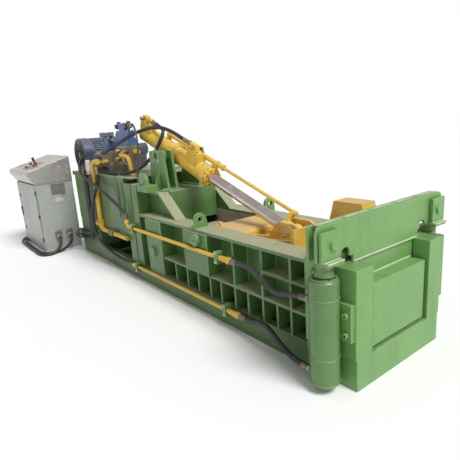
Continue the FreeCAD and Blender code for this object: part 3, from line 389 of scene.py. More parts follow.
def bolt(mesh, at, axis, width=0.012, place=Matrix(), washer=True):
    # hexagon head on its washer
    tall = width * 1.1
    if washer:
        lathe(mesh, [(0, 0), (width * 1.5, 0), (width * 1.5, width * 0.22), (0, width * 0.22)],
              at, axis, 20, False, place)
    lathe(mesh, [(0, 0), (width, 0), (width, tall * 0.85), (width * 0.82, tall), (0, tall)],
          at, axis, 6, False, place, turn=0.3)


def capScrew(mesh, at, axis, radius=0.01, place=Matrix()):
    tall = radius * 1.3
    lathe(mesh, [(0, 0), (radius, 0), (radius, tall * 0.85), (radius * 0.88, tall),
                 (radius * 0.5, tall), (radius * 0.46, tall * 0.4), (0, tall * 0.4)],
          at, axis, 18, False, place)


def fitting(mesh, at, axis, radius, length, place=Matrix()):
    # hexagon nut with a collar on each side
    lathe(mesh, [(0, 0), (radius * 0.8, 0), (radius * 0.8, length * 0.25)], at, axis, 20, False,
          place)
    lathe(mesh, [(0, length * 0.2), (radius * 1.02, length * 0.2), (radius * 1.12, length * 0.28),
                 (radius * 1.12, length * 0.7), (radius * 1.02, length * 0.78),
                 (0, length * 0.78)], at, axis, 6, False, place)
    lathe(mesh, [(radius * 0.82, length * 0.7), (radius * 0.82, length), (0, length)], at, axis,
          20, False, place)


def soften(thing, width, cad=False):
    if cad:
        if not width:
            return
        weld = thing.modifiers.new("weld", "WELD")
        weld.merge_threshold = 0.00005
        flat = thing.modifiers.new("flat", "DECIMATE")
        flat.decimate_type = "DISSOLVE"
        flat.angle_limit = math.radians(0.4)
    if width:
        edge = thing.modifiers.new("edge", "BEVEL")
        edge.width = width
        edge.segments = 2
        edge.limit_method = "ANGLE"
        edge.angle_limit = math.radians(34)
        edge.use_clamp_overlap = not cad
        edge.miter_outer = "MITER_ARC"
    shading = thing.modifiers.new("shading", "WEIGHTED_NORMAL")
    shading.keep_sharp = False


def piece(name, mesh, finish, body="root", width=0.0012, stands=()):
    bmesh.ops.recalc_face_normals(mesh, faces=mesh.faces[:])
    data = bpy.data.meshes.new(name)
    mesh.to_mesh(data)
    mesh.free()
    data.polygons.foreach_set("use_smooth", [True] * len(data.polygons))
    data.materials.append(finishes[finish])
    thing = bpy.data.objects.new(name, data)
    scene.collection.objects.link(thing)
    soften(thing, width)
    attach(thing, body)
    if stands:
        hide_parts(*stands)
    return thing


def dress(finish, width, *names):
    for name in names:
        thing = nodes[name]
        for place in range(len(thing.data.materials)):
            thing.material_slots[place].material = finishes[finish]
        soften(thing, width, cad=True)


# hoses and cables, each on its own smooth line

cords = {
    "gate_hose_upper": {"diameter": 0.036, "length": 0.788, "points": [
        (-0.87, -0.452, 0.532), (-0.8, -0.452, 0.532), (-0.7, -0.458, 0.545),
        (-0.59, -0.466, 0.518), (-0.5, -0.478, 0.468), (-0.39, -0.492, 0.448),
        (-0.27, -0.506, 0.478), (-0.18, -0.514, 0.502), (-0.106, -0.514, 0.502)]},
    "gate_hose_lower": {"diameter": 0.036, "length": 0.725, "points": [
        (-0.805, -0.452, 0.142), (-0.735, -0.452, 0.142), (-0.64, -0.46, 0.16),
        (-0.55, -0.47, 0.186), (-0.465, -0.48, 0.168), (-0.385, -0.49, 0.122),
        (-0.29, -0.502, 0.088), (-0.19, -0.514, 0.076), (-0.106, -0.514, 0.076)]},
    "feed_hose_upper": {"diameter": 0.034, "length": 1.684, "points": [
        (-3.15, -0.405, 1.24), (-3.225, -0.405, 1.24), (-3.32, -0.418, 1.248),
        (-3.42, -0.444, 1.234), (-3.5, -0.464, 1.198), (-3.55, -0.484, 1.144),
        (-3.554, -0.5, 1.076), (-3.51, -0.509, 1.024), (-3.43, -0.513, 0.992),
        (-3.31, -0.513, 0.958), (-3.18, -0.512, 0.928), (-3.04, -0.51, 0.89),
        (-2.87, -0.506, 0.842), (-2.72, -0.498, 0.786), (-2.622, -0.484, 0.738),
        (-2.562, -0.467, 0.694), (-2.535, -0.452, 0.648), (-2.535, -0.452, 0.602)]},
    "feed_hose_lower": {"diameter": 0.034, "length": 1.617, "points": [
        (-3.15, -0.455, 1.08), (-3.15, -0.455, 1.015), (-3.157, -0.464, 0.93),
        (-3.19, -0.488, 0.83), (-3.25, -0.508, 0.72), (-3.302, -0.512, 0.6),
        (-3.322, -0.512, 0.47), (-3.304, -0.506, 0.35), (-3.225, -0.492, 0.26),
        (-3.09, -0.476, 0.2), (-2.92, -0.462, 0.158), (-2.75, -0.454, 0.142),
        (-2.62, -0.452, 0.142), (-2.51, -0.452, 0.142)]},
    "suction_hose_a": {"diameter": 0.04, "length": 1.264, "points": [
        (-3.5, -0.33, 1.085), (-3.5, -0.375, 1.085), (-3.501, -0.424, 1.066),
        (-3.504, -0.456, 1.022), (-3.51, -0.47, 0.95), (-3.518, -0.472, 0.82),
        (-3.52, -0.472, 0.64), (-3.512, -0.47, 0.48), (-3.528, -0.468, 0.37),
        (-3.6, -0.465, 0.298), (-3.72, -0.463, 0.268), (-3.85, -0.462, 0.262),
        (-3.96, -0.462, 0.262)]},
    "suction_hose_b": {"diameter": 0.04, "length": 1.354, "points": [
        (-3.455, -0.33, 1.085), (-3.455, -0.375, 1.085), (-3.456, -0.424, 1.066),
        (-3.458, -0.456, 1.022), (-3.463, -0.47, 0.95), (-3.472, -0.472, 0.82),
        (-3.474, -0.472, 0.64), (-3.464, -0.47, 0.47), (-3.482, -0.468, 0.34),
        (-3.56, -0.465, 0.248), (-3.69, -0.462, 0.208), (-3.83, -0.462, 0.204),
        (-3.96, -0.462, 0.204)]},
    "lid_hose_front": {"diameter": 0.034, "length": 1.301, "points": [
        (-3.1, -0.405, 1.24), (-3.03, -0.405, 1.24), (-2.93, -0.382, 1.268),
        (-2.8, -0.338, 1.325), (-2.65, -0.285, 1.388), (-2.51, -0.23, 1.436),
        (-2.355, -0.18, 1.464), (-2.21, -0.136, 1.46), (-2.09, -0.092, 1.412),
        (-1.9928, -0.05, 1.3447), (-1.925, -0.05, 1.3206)]},
    "lid_hose_rear": {"diameter": 0.034, "length": 1.675, "points": [
        (-3.395, -0.318, 1.1), (-3.34, -0.318, 1.1), (-3.27, -0.354, 1.074),
        (-3.18, -0.374, 1.052), (-3.06, -0.378, 1.036), (-2.92, -0.37, 1.032),
        (-2.78, -0.352, 1.034), (-2.64, -0.328, 1.042), (-2.52, -0.3, 1.066),
        (-2.44, -0.262, 1.106), (-2.4, -0.215, 1.152), (-2.386, -0.166, 1.202),
        (-2.372, -0.126, 1.262), (-2.332, -0.106, 1.326), (-2.302, -0.088, 1.38),
        (-2.314, -0.066, 1.422), (-2.358, -0.046, 1.446), (-2.422, -0.03, 1.462),
        (-2.4933, -0.02, 1.4831), (-2.564, -0.02, 1.5082)]},
    "desk_cable_a": {"diameter": 0.034, "length": 2.086, "points": [
        (-4.24, -0.662, 0.187), (-4.19, -0.662, 0.187), (-4.146, -0.67, 0.15),
        (-4.128, -0.694, 0.1), (-4.118, -0.734, 0.056), (-4.106, -0.788, 0.025),
        (-4.096, -0.85, 0.017), (-4.126, -0.906, 0.017), (-4.19, -0.936, 0.017),
        (-4.3, -0.946, 0.017), (-4.45, -0.94, 0.017), (-4.64, -0.946, 0.017),
        (-4.84, -0.94, 0.017), (-5.03, -0.942, 0.017), (-5.19, -0.926, 0.017),
        (-5.31, -0.88, 0.017), (-5.385, -0.8, 0.017), (-5.402, -0.705, 0.02),
        (-5.382, -0.63, 0.05), (-5.342, -0.584, 0.098), (-5.294, -0.56, 0.134),
        (-5.236, -0.56, 0.134)]},
    "desk_cable_b": {"diameter": 0.034, "length": 1.851, "points": [
        (-4.24, -0.52, 0.19), (-4.19, -0.52, 0.19), (-4.15, -0.532, 0.15), (-4.142, -0.562, 0.1),
        (-4.146, -0.608, 0.058), (-4.156, -0.664, 0.027), (-4.16, -0.725, 0.017),
        (-4.156, -0.79, 0.017), (-4.172, -0.85, 0.017), (-4.226, -0.89, 0.017),
        (-4.32, -0.905, 0.017), (-4.46, -0.9, 0.017), (-4.64, -0.905, 0.017),
        (-4.83, -0.898, 0.017), (-5.01, -0.9, 0.017), (-5.15, -0.884, 0.017),
        (-5.258, -0.846, 0.017), (-5.322, -0.792, 0.028), (-5.33, -0.736, 0.07),
        (-5.29, -0.7, 0.12), (-5.236, -0.7, 0.12)]},
}
crimp = {"length": 0.062, "grip": 1.22, "neck": 0.72}


def smoothLine(name, points, thick=0):
    data = bpy.data.curves.new(name, "CURVE")
    data.dimensions = "3D"
    data.resolution_u = 12
    data.bevel_depth = thick / 2
    data.bevel_resolution = 6
    data.use_fill_caps = True
    line = data.splines.new("NURBS")
    line.points.add(len(points) - 1)
    for spot, point in zip(line.points, points):
        spot.co = (*point, 1)
    line.order_u = 3
    line.use_endpoint_u = True
    return bpy.data.objects.new(name, data)


def sampled(name, points):
    guide = smoothLine(name + "Guide", points)
    scene.collection.objects.link(guide)
    line = bpy.data.meshes.new_from_object(guide)
    spots = [vertex.co.copy() for vertex in line.vertices]
    bpy.data.objects.remove(guide)
    return spots


def addHose(name, moving=False, finish="rubber", ends=True):
    cord = cords[name]
    points, thick = cord["points"], cord["diameter"]
    line = sampled(name, points)
    tube = smoothLine(name + "Line", points, thick)
    if moving:
        scene.collection.objects.link(tube)
        data = bpy.data.meshes.new_from_object(tube)
        bpy.data.objects.remove(tube)
        data.polygons.foreach_set("use_smooth", [True] * len(data.polygons))
        tube = bpy.data.objects.new(name + "Line", data)
    scene.collection.objects.link(tube)
    tube.data.materials.append(finishes[finish])
    if ends:
        tips = ((line[0], line[3], "root"), (line[-1], line[-4], "lid_barrel" if moving
                                             else "root"))
        for number, (tip, inward, body) in enumerate(tips):
            mesh = bmesh.new()
            ahead = inward - tip
            radius = thick / 2
            steps = [(0, 0), (radius * crimp["neck"], 0), (radius * crimp["neck"], 0.006),
                     (radius * 1.05, 0.009), (radius * crimp["grip"], 0.013)]
            for ridge in range(4):
                foot = 0.016 + ridge * 0.009
                steps += [(radius * crimp["grip"], foot), (radius * 1.12, foot + 0.002),
                          (radius * 1.12, foot + 0.005), (radius * crimp["grip"], foot + 0.007)]
            steps += [(radius * crimp["grip"], crimp["length"] - 0.004),
                      (radius * 1.08, crimp["length"]), (0, crimp["length"])]
            lathe(mesh, steps, tip, ahead, 28)
            piece(f"{name}Crimp{number}", mesh, "crimpSteel", body, 0.0008)
    if moving:
        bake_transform(tube)
    else:
        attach(tube, "root")
    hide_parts(name)


for name in cords:
    addHose(name, moving=name.startswith("lid_"), ends=not name.startswith("desk_"),
            finish="cable" if name.startswith("desk_") else "rubber")
print(len(cords), "hoses and cables laid")


# frame, box walls and floor plates

dress("gateGreen", 0.004, "gate_frame")
dress("baseGreen", 0, "base_frame")
dress("scrapSteel", 0.002, "press_floor", "side_liners", "ram_head")
dress("wallGreen", 0, "near_wall", "far_wall", "rear_housing", "lid_hinge_pin")
dress("greenPaint", 0.0025, "lifting_lugs", "near_trunnion_stand", "far_trunnion_stand")
dress("gateGreen", 0.003, "gate_brackets")
dress("lidYellow", 0.003, "lock_housing")

wallSeams = {"skin": 0.293, "edge": 0.42, "ribs": (-1.697, -1.514, -1.351, -1.186, -1.047,
                                                   -0.881, -0.739, -0.587, -0.452, -0.331),
             "thick": 0.016, "low": 0.165, "middle": 0.325, "bead": 0.0055}


def addWallSeams():
    s = wallSeams
    for side, label in ((-1, "near"), (1, "far")):
        mesh = bmesh.new()
        face = side * (s["skin"] + 0.001)
        for x in s["ribs"]:
            for edge in (x - s["thick"], x):
                bead(mesh, (edge, face, s["low"]), (edge, face, s["middle"]), s["bead"])
        for x in (-0.881, -0.587, -0.331):
            for edge in (x - s["thick"], x):
                bead(mesh, (edge, face, 0.341), (edge, face, 0.655), s["bead"])
        for z in (0.325, 0.341):
            bead(mesh, (-1.88, face, z), (-0.215, face, z), s["bead"])
        bead(mesh, (-1.88, face, 0.659), (-0.215, face, 0.659), s["bead"])
        edge = side * s["edge"]
        bead(mesh, (-1.88, edge, 0.341), (-1.52, edge, 0.341), s["bead"])
        for x in (-2.165, -1.897, -1.506, -1.186):
            bead(mesh, (x, side * 0.432, 0.345), (x, side * 0.432, 0.655), s["bead"])
        bead(mesh, (-0.216, side * 0.3, 0.17), (-0.216, side * 0.3, 0.68), s["bead"])
        piece(f"{label}WallSeams", mesh, "greenWeld", width=0)


def addWallBosses():
    for side, label in ((-1, "near"), (1, "far")):
        out = (0, side, 0)
        mesh = bmesh.new()
        lathe(mesh, [(0, 0), (0.052, 0), (0.052, 0.01), (0.044, 0.016), (0, 0.016)],
              (-1.32, side * 0.446, 0.605), out, 36)
        lathe(mesh, [(0, 0), (0.05, 0), (0.05, 0.009), (0.043, 0.012), (0.016, 0.012),
                     (0.014, 0.006), (0, 0.006)], (-2.064, side * 0.442, 0.364), out, 36)
        beadRound(mesh, (-1.32, side * 0.433, 0.605), out, 0.049)
        beadRound(mesh, (-2.064, side * 0.433, 0.364), out, 0.054)
        piece(f"{label}WallBosses", mesh, "greenPaint")
        mesh = bmesh.new()
        block(mesh, (-1.35, -1.29), sorted((side * 0.461, side * 0.468)), (0.58, 0.594))
        for x in (-1.343, -1.297):
            bolt(mesh, (x, side * 0.468, 0.587), out, 0.008)
        piece(f"{label}PinKeeper", mesh, "greenPaint")


gateSeams = {"bead": 0.006}


def addFrameSeams():
    radius = gateSeams["bead"]
    mesh = bmesh.new()
    for side in (-1, 1):
        bead(mesh, (0.128, side * 0.431, 0.3), (0.128, side * 0.431, 0.512), radius)
        bead(mesh, (-0.21, side * 0.422, 0.19), (0.138, side * 0.422, 0.19), radius)
        bead(mesh, (-0.16, side * 0.418, 0.662), (-0.16, side * 0.3, 0.662), radius)
    bead(mesh, (0.133, -0.244, 0.186), (0.133, 0.244, 0.186), 0.004)
    piece("gateFrameSeams", mesh, "gateGreen", width=0)


addWallSeams()
addWallBosses()
addFrameSeams()

linerBolts = {"reach": 0.2445, "columns": (-1.4, -1.2, -1.0, -0.8, -0.6, -0.4, -0.25),
              "rows": (0.25, 0.4, 0.56), "radius": 0.013}


def addLinerBolts():
    b = linerBolts
    mesh = bmesh.new()
    for side in (-1, 1):
        for x in b["columns"]:
            for z in b["rows"]:
                if abs(x + 1.32) > 0.06 or z < 0.5:
                    lathe(mesh, [(0, 0), (b["radius"], 0), (b["radius"] * 0.85, 0.0025),
                                 (b["radius"] * 0.45, 0.0025), (b["radius"] * 0.4, 0.0008),
                                 (0, 0.0008)], (x, side * b["reach"], z), (0, -side, 0), 20)
    piece("linerBolts", mesh, "darkSteel", width=0)


addLinerBolts()
print("frame and walls done")


# gate: crossbeam, door, cylinders

dress("gateGreen", 0.003, "crossbeam")
dress("gateGreen", 0.004, "door")
dress("cylinderGreen", 0.003, "near_gate_barrel", "far_gate_barrel")
dress("gateGreen", 0.001, "bracket_screws")
dress("greenPaint", 0.003, "gate_pins")

beamTrim = {"face": 0.034, "foot": 0.699, "half": 0.316, "bead": 0.0065, "ear": (0.456, 0.598),
            "earFace": 0.062, "pin": (0.514, 0.84), "eye": (-0.55, -0.83, 0)}


def addBeamTrim():
    t = beamTrim
    mesh = bmesh.new()
    for face in (t["face"] + 0.001, -t["face"] - 0.001):
        bead(mesh, (face, -t["half"], t["foot"]), (face, t["half"], t["foot"]), t["bead"])
    bead(mesh, (0.028, -0.262, 0.583), (0.028, 0.262, 0.583), t["bead"])
    for side in (-1, 1):
        for y in (t["ear"][0] + 0.012, t["ear"][1] - 0.012):
            bead(mesh, (0.038, side * y, 0.757), (0.038, side * y, 0.9), 0.004)
        bead(mesh, (0.084, side * 0.455, 0.754), (0.084, side * 0.582, 0.754), 0.006)
        bead(mesh, (0.063, side * 0.455, 0.757), (0.063, side * 0.582, 0.757), 0.005)
        bead(mesh, (0.028, side * 0.263, 0.21), (0.028, side * 0.263, 0.578), 0.004)
    piece("beamSeams", mesh, "weldMetal", "gate", 0)
    mesh = bmesh.new()
    for face in (-0.018, 0.018):
        bead(mesh, (face, -0.566, 0.9405), (face, 0.566, 0.9405), 0.004)
    for side in (-1, 1):
        y, z = side * t["pin"][0], t["pin"][1]
        lathe(mesh, [(0, 0), (0.0275, 0), (0.0275, 0.014), (0.025, 0.017), (0, 0.017)],
              (t["earFace"], y, z), (1, 0, 0), 40)
        beadRound(mesh, (t["earFace"], y, z), (1, 0, 0), 0.028, 0.0022)
        ring(mesh, 0.0275, 0.04, 0.006, (-0.04, y, z), (1, 0, 0), 40)
    piece("beamPinHeads", mesh, "gateGreen", "gate")
    mesh = bmesh.new()
    for side in (-1, 1):
        y = side * t["pin"][0]
        lathe(mesh, [(0, 0), (0.0505, 0), (0.0505, 0.06), (0, 0.06)], (0, y, 0.67), (0, 0, 1),
              40)
        ring(mesh, 0.044, 0.052, 0.008, (0, y, 0.664), (0, 0, 1), 40)
        eye = Vector(t["eye"])
        lathe(mesh, [(0.009, 0), (0.019, 0), (0.019, 0.016), (0.009, 0.016)],
              Vector((0, y, 0.694)) + eye * 0.048, eye, 24, True)
        for lift in (0.02, 0.05):
            beadRound(mesh, (0, y, 0.665 + lift), (0, 0, 1), 0.0495, 0.003)
    piece("rodCollars", mesh, "cylinderGreen", "gate")
    # pale strips on the beam top: partly bare steel, partly a painted highlight where the top face
    # is lit
    mesh = bmesh.new()
    for y in (-0.47, -0.235, 0, 0.235, 0.47):
        block(mesh, (-0.0165, 0.0165), (y - 0.1, y + 0.1), (0.938, 0.9412))
    piece("beamTopSteelAndHighlight", mesh, "weldMetal", "gate")


gateCylinder = {"y": 0.514, "radius": 0.08, "rings": (0.546, 0.21, 0.06),
                "ports": (0.076, 0.502)}


def addGateCylinders():
    c = gateCylinder
    for side, label in ((-1, "near"), (1, "far")):
        y = side * c["y"]
        mesh = bmesh.new()
        ring(mesh, 0.048, 0.071, 0.006, (0, y, 0.652), (0, 0, 1), 48)
        for z in c["rings"]:
            beadRound(mesh, (0, y, z), (0, 0, 1), c["radius"] - 0.001, 0.0045)
        for z in c["ports"]:
            ring(mesh, 0.0215, 0.027, 0.022, (-0.104, y, z), (1, 0, 0), 28)
            beadRound(mesh, (-0.076, y, z), (-1, 0, 0), 0.024, 0.005)
        piece(f"{label}BarrelRings", mesh, "cylinderGreen")
        mesh = bmesh.new()
        for a, b in around(8):
            capScrew(mesh, (0.0595 * a, y + 0.0595 * b, 0.656), (0, 0, 1), 0.0055)
        ring(mesh, 0.0405, 0.0475, 0.008, (0, y, 0.651), (0, 0, 1), 40)
        piece(f"{label}Gland", mesh, "darkSteel", width=0.0006)
    mesh = bmesh.new()
    block(mesh, (-0.02, 0.126), (0.4585, 0.484), (0.285, 0.69))
    for z in (0.33, 0.41, 0.57, 0.65):
        capScrew(mesh, (0.1, 0.484, z), (0, 1, 0), 0.013)
    for side in (-1, 1):
        block(mesh, (-0.09, -0.03), sorted((side * 0.4305, side * 0.451)), (0.28, 0.56))
    piece("farBracketPlate", mesh, "gateGreen", width=0.0025)
    # a dark strip in the gap under the door: painted shade for the shadow in the gap
    mesh = bmesh.new()
    block(mesh, (0.027, 0.034), (-0.262, 0.262), (0.1865, 0.206))
    piece("doorGapShade", mesh, "darkSteel", "gate")


def addGateRods():
    mesh = bmesh.new()
    for side in (-1, 1):
        y = side * gateCylinder["y"]
        lathe(mesh, [(0, 0), (0.04, 0), (0.04, 0.562), (0, 0.562)], (0, y, 0.1), (0, 0, 1), 40)
        block(mesh, (-0.016, 0.016), (y - 0.04, y + 0.04), (0.735, 0.885))
    piece("gateRodBars", mesh, "chrome", "gate", 0.002, stands=("gate_rods",))


addBeamTrim()
addGateCylinders()
addGateRods()
print("gate done")


# lid and its cylinder

dress("lidYellow", 0, "lid")
dress("yellowPaint", 0.003, "lid_barrel", "guide_tube")
dress("yellowPaint", 0.002, "clevis_pins")

lidTrim = {"pin": (-0.7, 0.668), "ear": 0.088, "inner": 0.062, "bead": 0.006}


def addLidTrim():
    t = lidTrim
    x, z = t["pin"]
    mesh = bmesh.new()
    for side in (-1, 1):
        for y in (t["ear"] + 0.002, t["inner"] - 0.002):
            bead(mesh, (-1.17, side * y, 0.603), (-0.487, side * y, 0.603), t["bead"])
        for y in (0.186, 0.2):
            bead(mesh, (-1.28, side * y, 0.603), (-0.487, side * y, 0.603), 0.005)
        out = (0, side, 0)
        ring(mesh, 0.033, 0.058, 0.007, (x, side * t["ear"], z), out, 44)
        ring(mesh, 0.066, 0.078, 0.0045, (x, side * t["ear"], z), out, 44)
        beadRound(mesh, (x, side * (t["ear"] + 0.001), z), out, 0.06, 0.004)
        bead(mesh, (-0.531, side * 0.1, 0.603), (-0.531, side * 0.236, 0.603), 0.006)
    bead(mesh, (-0.469, -0.236, 0.602), (-0.469, 0.236, 0.602), 0.006)
    piece("lidSeams", mesh, "lidYellow", "lid", 0.0006)
    mesh = bmesh.new()
    prism(mesh, "Y", (-0.236, 0.236), [(-1.385, 0.6), (-1.385, 0.658), (-1.375, 0.668),
                                       (-1.06, 0.668), (-1.03, 0.648), (-1.03, 0.6)])
    for y in (-0.205, 0.205):
        lathe(mesh, [(0.0135, 0), (0.018, 0), (0.018, 0.008), (0.0135, 0.008)],
              (-1.3, y, 0.668), (0, 0, 1), 24, True)
        lathe(mesh, [(0, 0), (0.0135, 0), (0.0135, 0.03), (0.008, 0.034), (0.009, 0.04),
                     (0, 0.044)], (-1.3, y, 0.668), (0, 0, 1), 20)
    piece("lidRearPlate", mesh, "lidYellow", "lid")
    mesh = bmesh.new()
    for side in (-1, 1):
        capScrew(mesh, (x, side * 0.096, z), (0, side, 0), 0.012)
        block(mesh, (x - 0.045, x + 0.045), sorted((side * 0.0955, side * 0.1)),
              (z + 0.012, z + 0.024))
    piece("clevisKeepers", mesh, "boltSteel", "lid")


lidCylinder = {"trunnion": (-2.215, 0, 1.206), "rodPin": (-0.7, 0, 0.668), "radius": 0.08,
               "rod": 0.045, "guide": (0.044, 0.116)}
lean = math.atan2(lidCylinder["trunnion"][2] - lidCylinder["rodPin"][2],
                  lidCylinder["rodPin"][0] - lidCylinder["trunnion"][0])
cylinderPlace = Matrix.Translation(lidCylinder["trunnion"]) @ Matrix.Rotation(lean, 4, "Y")
reach = (Vector(lidCylinder["rodPin"]) - Vector(lidCylinder["trunnion"])).length


def addLidBarrelTrim():
    c, place = lidCylinder, cylinderPlace
    mesh = bmesh.new()
    for x in (-0.615, -0.42, -0.055, 0.055, 0.2, 0.44, 0.512):
        beadRound(mesh, (x, 0, 0), (1, 0, 0), c["radius"] - 0.001, 0.0045, place)
    ring(mesh, 0.0465, 0.082, 0.006, (0.588, 0, 0), (1, 0, 0), 44, place)
    ring(mesh, 0.094, 0.099, 0.02, (0.533, 0, 0), (1, 0, 0), 44, place)
    for low, high in ((-0.64, -0.43), (0.262, 0.425)):
        for y in (-0.06, 0.004):
            bead(mesh, (low, y, 0.072), (high, y, 0.072), 0.006, place)
    for x in (-0.212, 0.203, 0.573):
        ring(mesh, 0.0225, 0.03, 0.02, (x, 0.044, 0.116), (1, 0, 0), 28, place)
    ring(mesh, 0.0165, 0.0265, 0.02, (0.655, 0.044, 0.116), (1, 0, 0), 28, place)
    lathe(mesh, [(0, 0), (0.02, 0), (0.02, 0.014), (0.012, 0.02), (0, 0.02)],
          (-0.66, 0, 0), (-1, 0, 0), 28, False, place)
    piece("lidBarrelRings", mesh, "yellowPaint", "lid_barrel")
    mesh = bmesh.new()
    for a, b in around(12, 0):
        capScrew(mesh, (0.5715, 0.0835 * a, 0.0835 * b), (1, 0, 0), 0.0065, place)
    for a, b in around(8):
        capScrew(mesh, (0.594, 0.066 * a, 0.066 * b), (1, 0, 0), 0.0055, place)
    for low, high, top in ((-0.635, -0.515, 0.15), (0.272, 0.415, 0.16)):
        for x in (low + 0.012, high - 0.012):
            for y in (-0.052, 0.006):
                capScrew(mesh, (x, y, top), (0, 0, 1), 0.007, place)
    for side in (-1, 1):
        lathe(mesh, [(0, 0), (0.03, 0), (0.03, 0.006), (0.026, 0.009), (0, 0.009)],
              (0, side * 0.22, 0), (0, side, 0), 28, False, place)
    piece("lidBarrelBolts", mesh, "darkSteel", "lid_barrel", 0.0006)
    mesh = bmesh.new()
    fitting(mesh, (0.315, -0.05, 0.205), (-1, 0, 0), 0.022, 0.075, place)
    fitting(mesh, (-0.46, -0.02, 0.168), (1, 0, 0), 0.022, 0.05, place)
    lathe(mesh, [(0, 0), (0.016, 0), (0.016, 0.012), (0.01, 0.014), (0.01, 0.024),
                 (0.019, 0.028), (0.019, 0.046), (0, 0.05)], (-0.58, -0.046, 0.172), (0, -1, 0),
          24, False, place)
    fitting(mesh, (-0.485, -0.042, 0.165), (0, -1, 0), 0.014, 0.03, place)
    lathe(mesh, [(0, 0), (0.015, 0), (0.015, 0.014), (0.009, 0.016), (0.009, 0.026), (0, 0.028)],
          (0.35, -0.072, 0.19), (0, -1, 0), 20, False, place)
    piece("lidBarrelFittings", mesh, "brass", "lid_barrel")


def addLidRod():
    c, place = lidCylinder, cylinderPlace
    mesh = bmesh.new()
    lathe(mesh, [(0, 0), (c["rod"], 0), (c["rod"], reach - 0.17), (0, reach - 0.17)],
          (0.11, 0, 0), (1, 0, 0), 48, False, place)
    piece("lidRodBar", mesh, "chrome", "lid_rod")
    mesh = bmesh.new()
    lathe(mesh, [(0.0455, 0), (0.052, 0), (0.058, 0.006), (0.058, 0.062), (0.052, 0.07),
                 (0, 0.07)], (reach - 0.11, 0, 0), (1, 0, 0), 44, False, place)
    lathe(mesh, [(0.034, 0), (0.056, 0), (0.06, 0.004), (0.06, 0.096), (0.056, 0.1),
                 (0.034, 0.1)], (reach, -0.05, 0), (0, 1, 0), 44, True, place)
    beadRound(mesh, (reach - 0.045, 0, 0), (1, 0, 0), 0.05, 0.006, place)
    lathe(mesh, [(0, 0), (0.011, 0), (0.011, 0.006), (0.006, 0.008), (0.006, 0.014), (0, 0.015)],
          (reach - 0.078, 0, 0.057), (0, 0, 1), 18, False, place)
    piece("lidRodEye", mesh, "yellowPaint", "lid_rod", 0.002, stands=("lid_rod",))
    side, lift = c["guide"]
    mesh = bmesh.new()
    lathe(mesh, [(0, 0), (0.0135, 0), (0.0135, reach - 0.23), (0, reach - 0.23)],
          (0.18, side, lift), (1, 0, 0), 28, False, place)
    prism(mesh, "X", (reach - 0.1, reach - 0.072),
          [(-0.006, 0.0585), (side - 0.019, lift + 0.01), (side - 0.012, lift + 0.016),
           (side + 0.008, lift + 0.016), (side + 0.012, lift + 0.008), (side + 0.012, lift - 0.006),
           (0.034, 0.048)], place)
    lathe(mesh, [(0, 0), (0.021, 0), (0.021, 0.016), (0, 0.016)], (reach - 0.072, side, lift),
          (1, 0, 0), 6, False, place)
    beadRound(mesh, (reach - 0.101, side, lift), (1, 0, 0), 0.016, 0.004, place)
    piece("travelRodBar", mesh, "yellowPaint", "lid_rod", stands=("travel_rod",))


trunnionStand = {"low": 0.91, "outer": 0.228, "inner": 0.116}


def addStandTrim():
    s = trunnionStand
    for side, label in ((-1, "near"), (1, "far")):
        mesh = bmesh.new()
        out = (0, side, 0)
        ring(mesh, 0.036, 0.062, 0.008, (-2.215, side * (s["outer"] - 0.002), 1.206), out, 44)
        for y in (s["outer"], s["outer"] - 0.024, s["inner"], s["inner"] + 0.024):
            bead(mesh, (-2.35, side * y, s["low"] + 0.002), (-2.042, side * y, s["low"] + 0.002),
                 0.006)
        bead(mesh, (-2.18, side * 0.232, 0.912), (-2.18, side * 0.294, 0.912), 0.005)
        bead(mesh, (-2.179, side * 0.229, 0.914), (-2.179, side * 0.229, 1.08), 0.005)
        piece(f"{label}StandSeams", mesh, "greenWeld")
        mesh = bmesh.new()
        for x, z in ((-2.262, 1.16), (-2.168, 1.16)):
            bolt(mesh, (x, side * s["outer"], z), out, 0.011)
        for x in (-2.36, -2.03):
            for y in (0.252, 0.283):
                bolt(mesh, (x, side * y, 0.91), (0, 0, 1), 0.011)
        piece(f"{label}StandBolts", mesh, "boltSteel", width=0.0006)


addLidTrim()
addLidBarrelTrim()
addLidRod()
addStandTrim()
print("lid and its cylinder done")


# pressure pipes and main cylinder

dress("pipeYellow", 0.0015, "upper_pipe", "lower_pipe", "return_pipe", "valve_lever")
dress("greenPaint", 0.002, "pipe_clamps")
dress("cylinderGreen", 0.003, "main_cylinder")
dress("chrome", 0, "ram_rod")

pipeRun = {"y": -0.452, "upper": 0.532, "lower": 0.142,
           "clamps": ((-2.42, "upper"), (-1.04, "upper"), (-2.42, "lower"), (-0.985, "lower"))}


def addPipeFittings():
    p = pipeRun
    mesh = bmesh.new()
    for z, x in ((p["upper"], -1.0), (p["lower"], -0.935)):
        fitting(mesh, (x + 0.07, p["y"], z), (1, 0, 0), 0.0235, 0.06)
    fitting(mesh, (-2.5, p["y"], p["lower"]), (1, 0, 0), 0.0225, 0.06)
    fitting(mesh, (-2.535, p["y"], 0.56), (0, 0, 1), 0.0225, 0.045)
    piece("pipeNuts", mesh, "pipeYellow", width=0.0008)
    mesh = bmesh.new()
    for x, row in p["clamps"]:
        for lift in (-0.034, 0.034):
            bolt(mesh, (x + 0.018, p["y"] - 0.024, p[row] + lift), (0, -1, 0), 0.0075)
    piece("clampBolts", mesh, "boltSteel", width=0.0005)
    mesh = bmesh.new()
    for x, row in p["clamps"]:
        for edge in (x, x + 0.032):
            ring(mesh, 0.0155, 0.027, 0.004, (edge, p["y"], p[row]), (1, 0, 0), 28)
    piece("clampRims", mesh, "greenPaint", width=0.0005)
    mesh = bmesh.new()
    for y in (-gateCylinder["y"], gateCylinder["y"]):
        for z in gateCylinder["ports"]:
            fitting(mesh, (-0.126, y, z), (1, 0, 0), 0.02, 0.03)
    piece("barrelPortNuts", mesh, "boltSteel", width=0.0006)


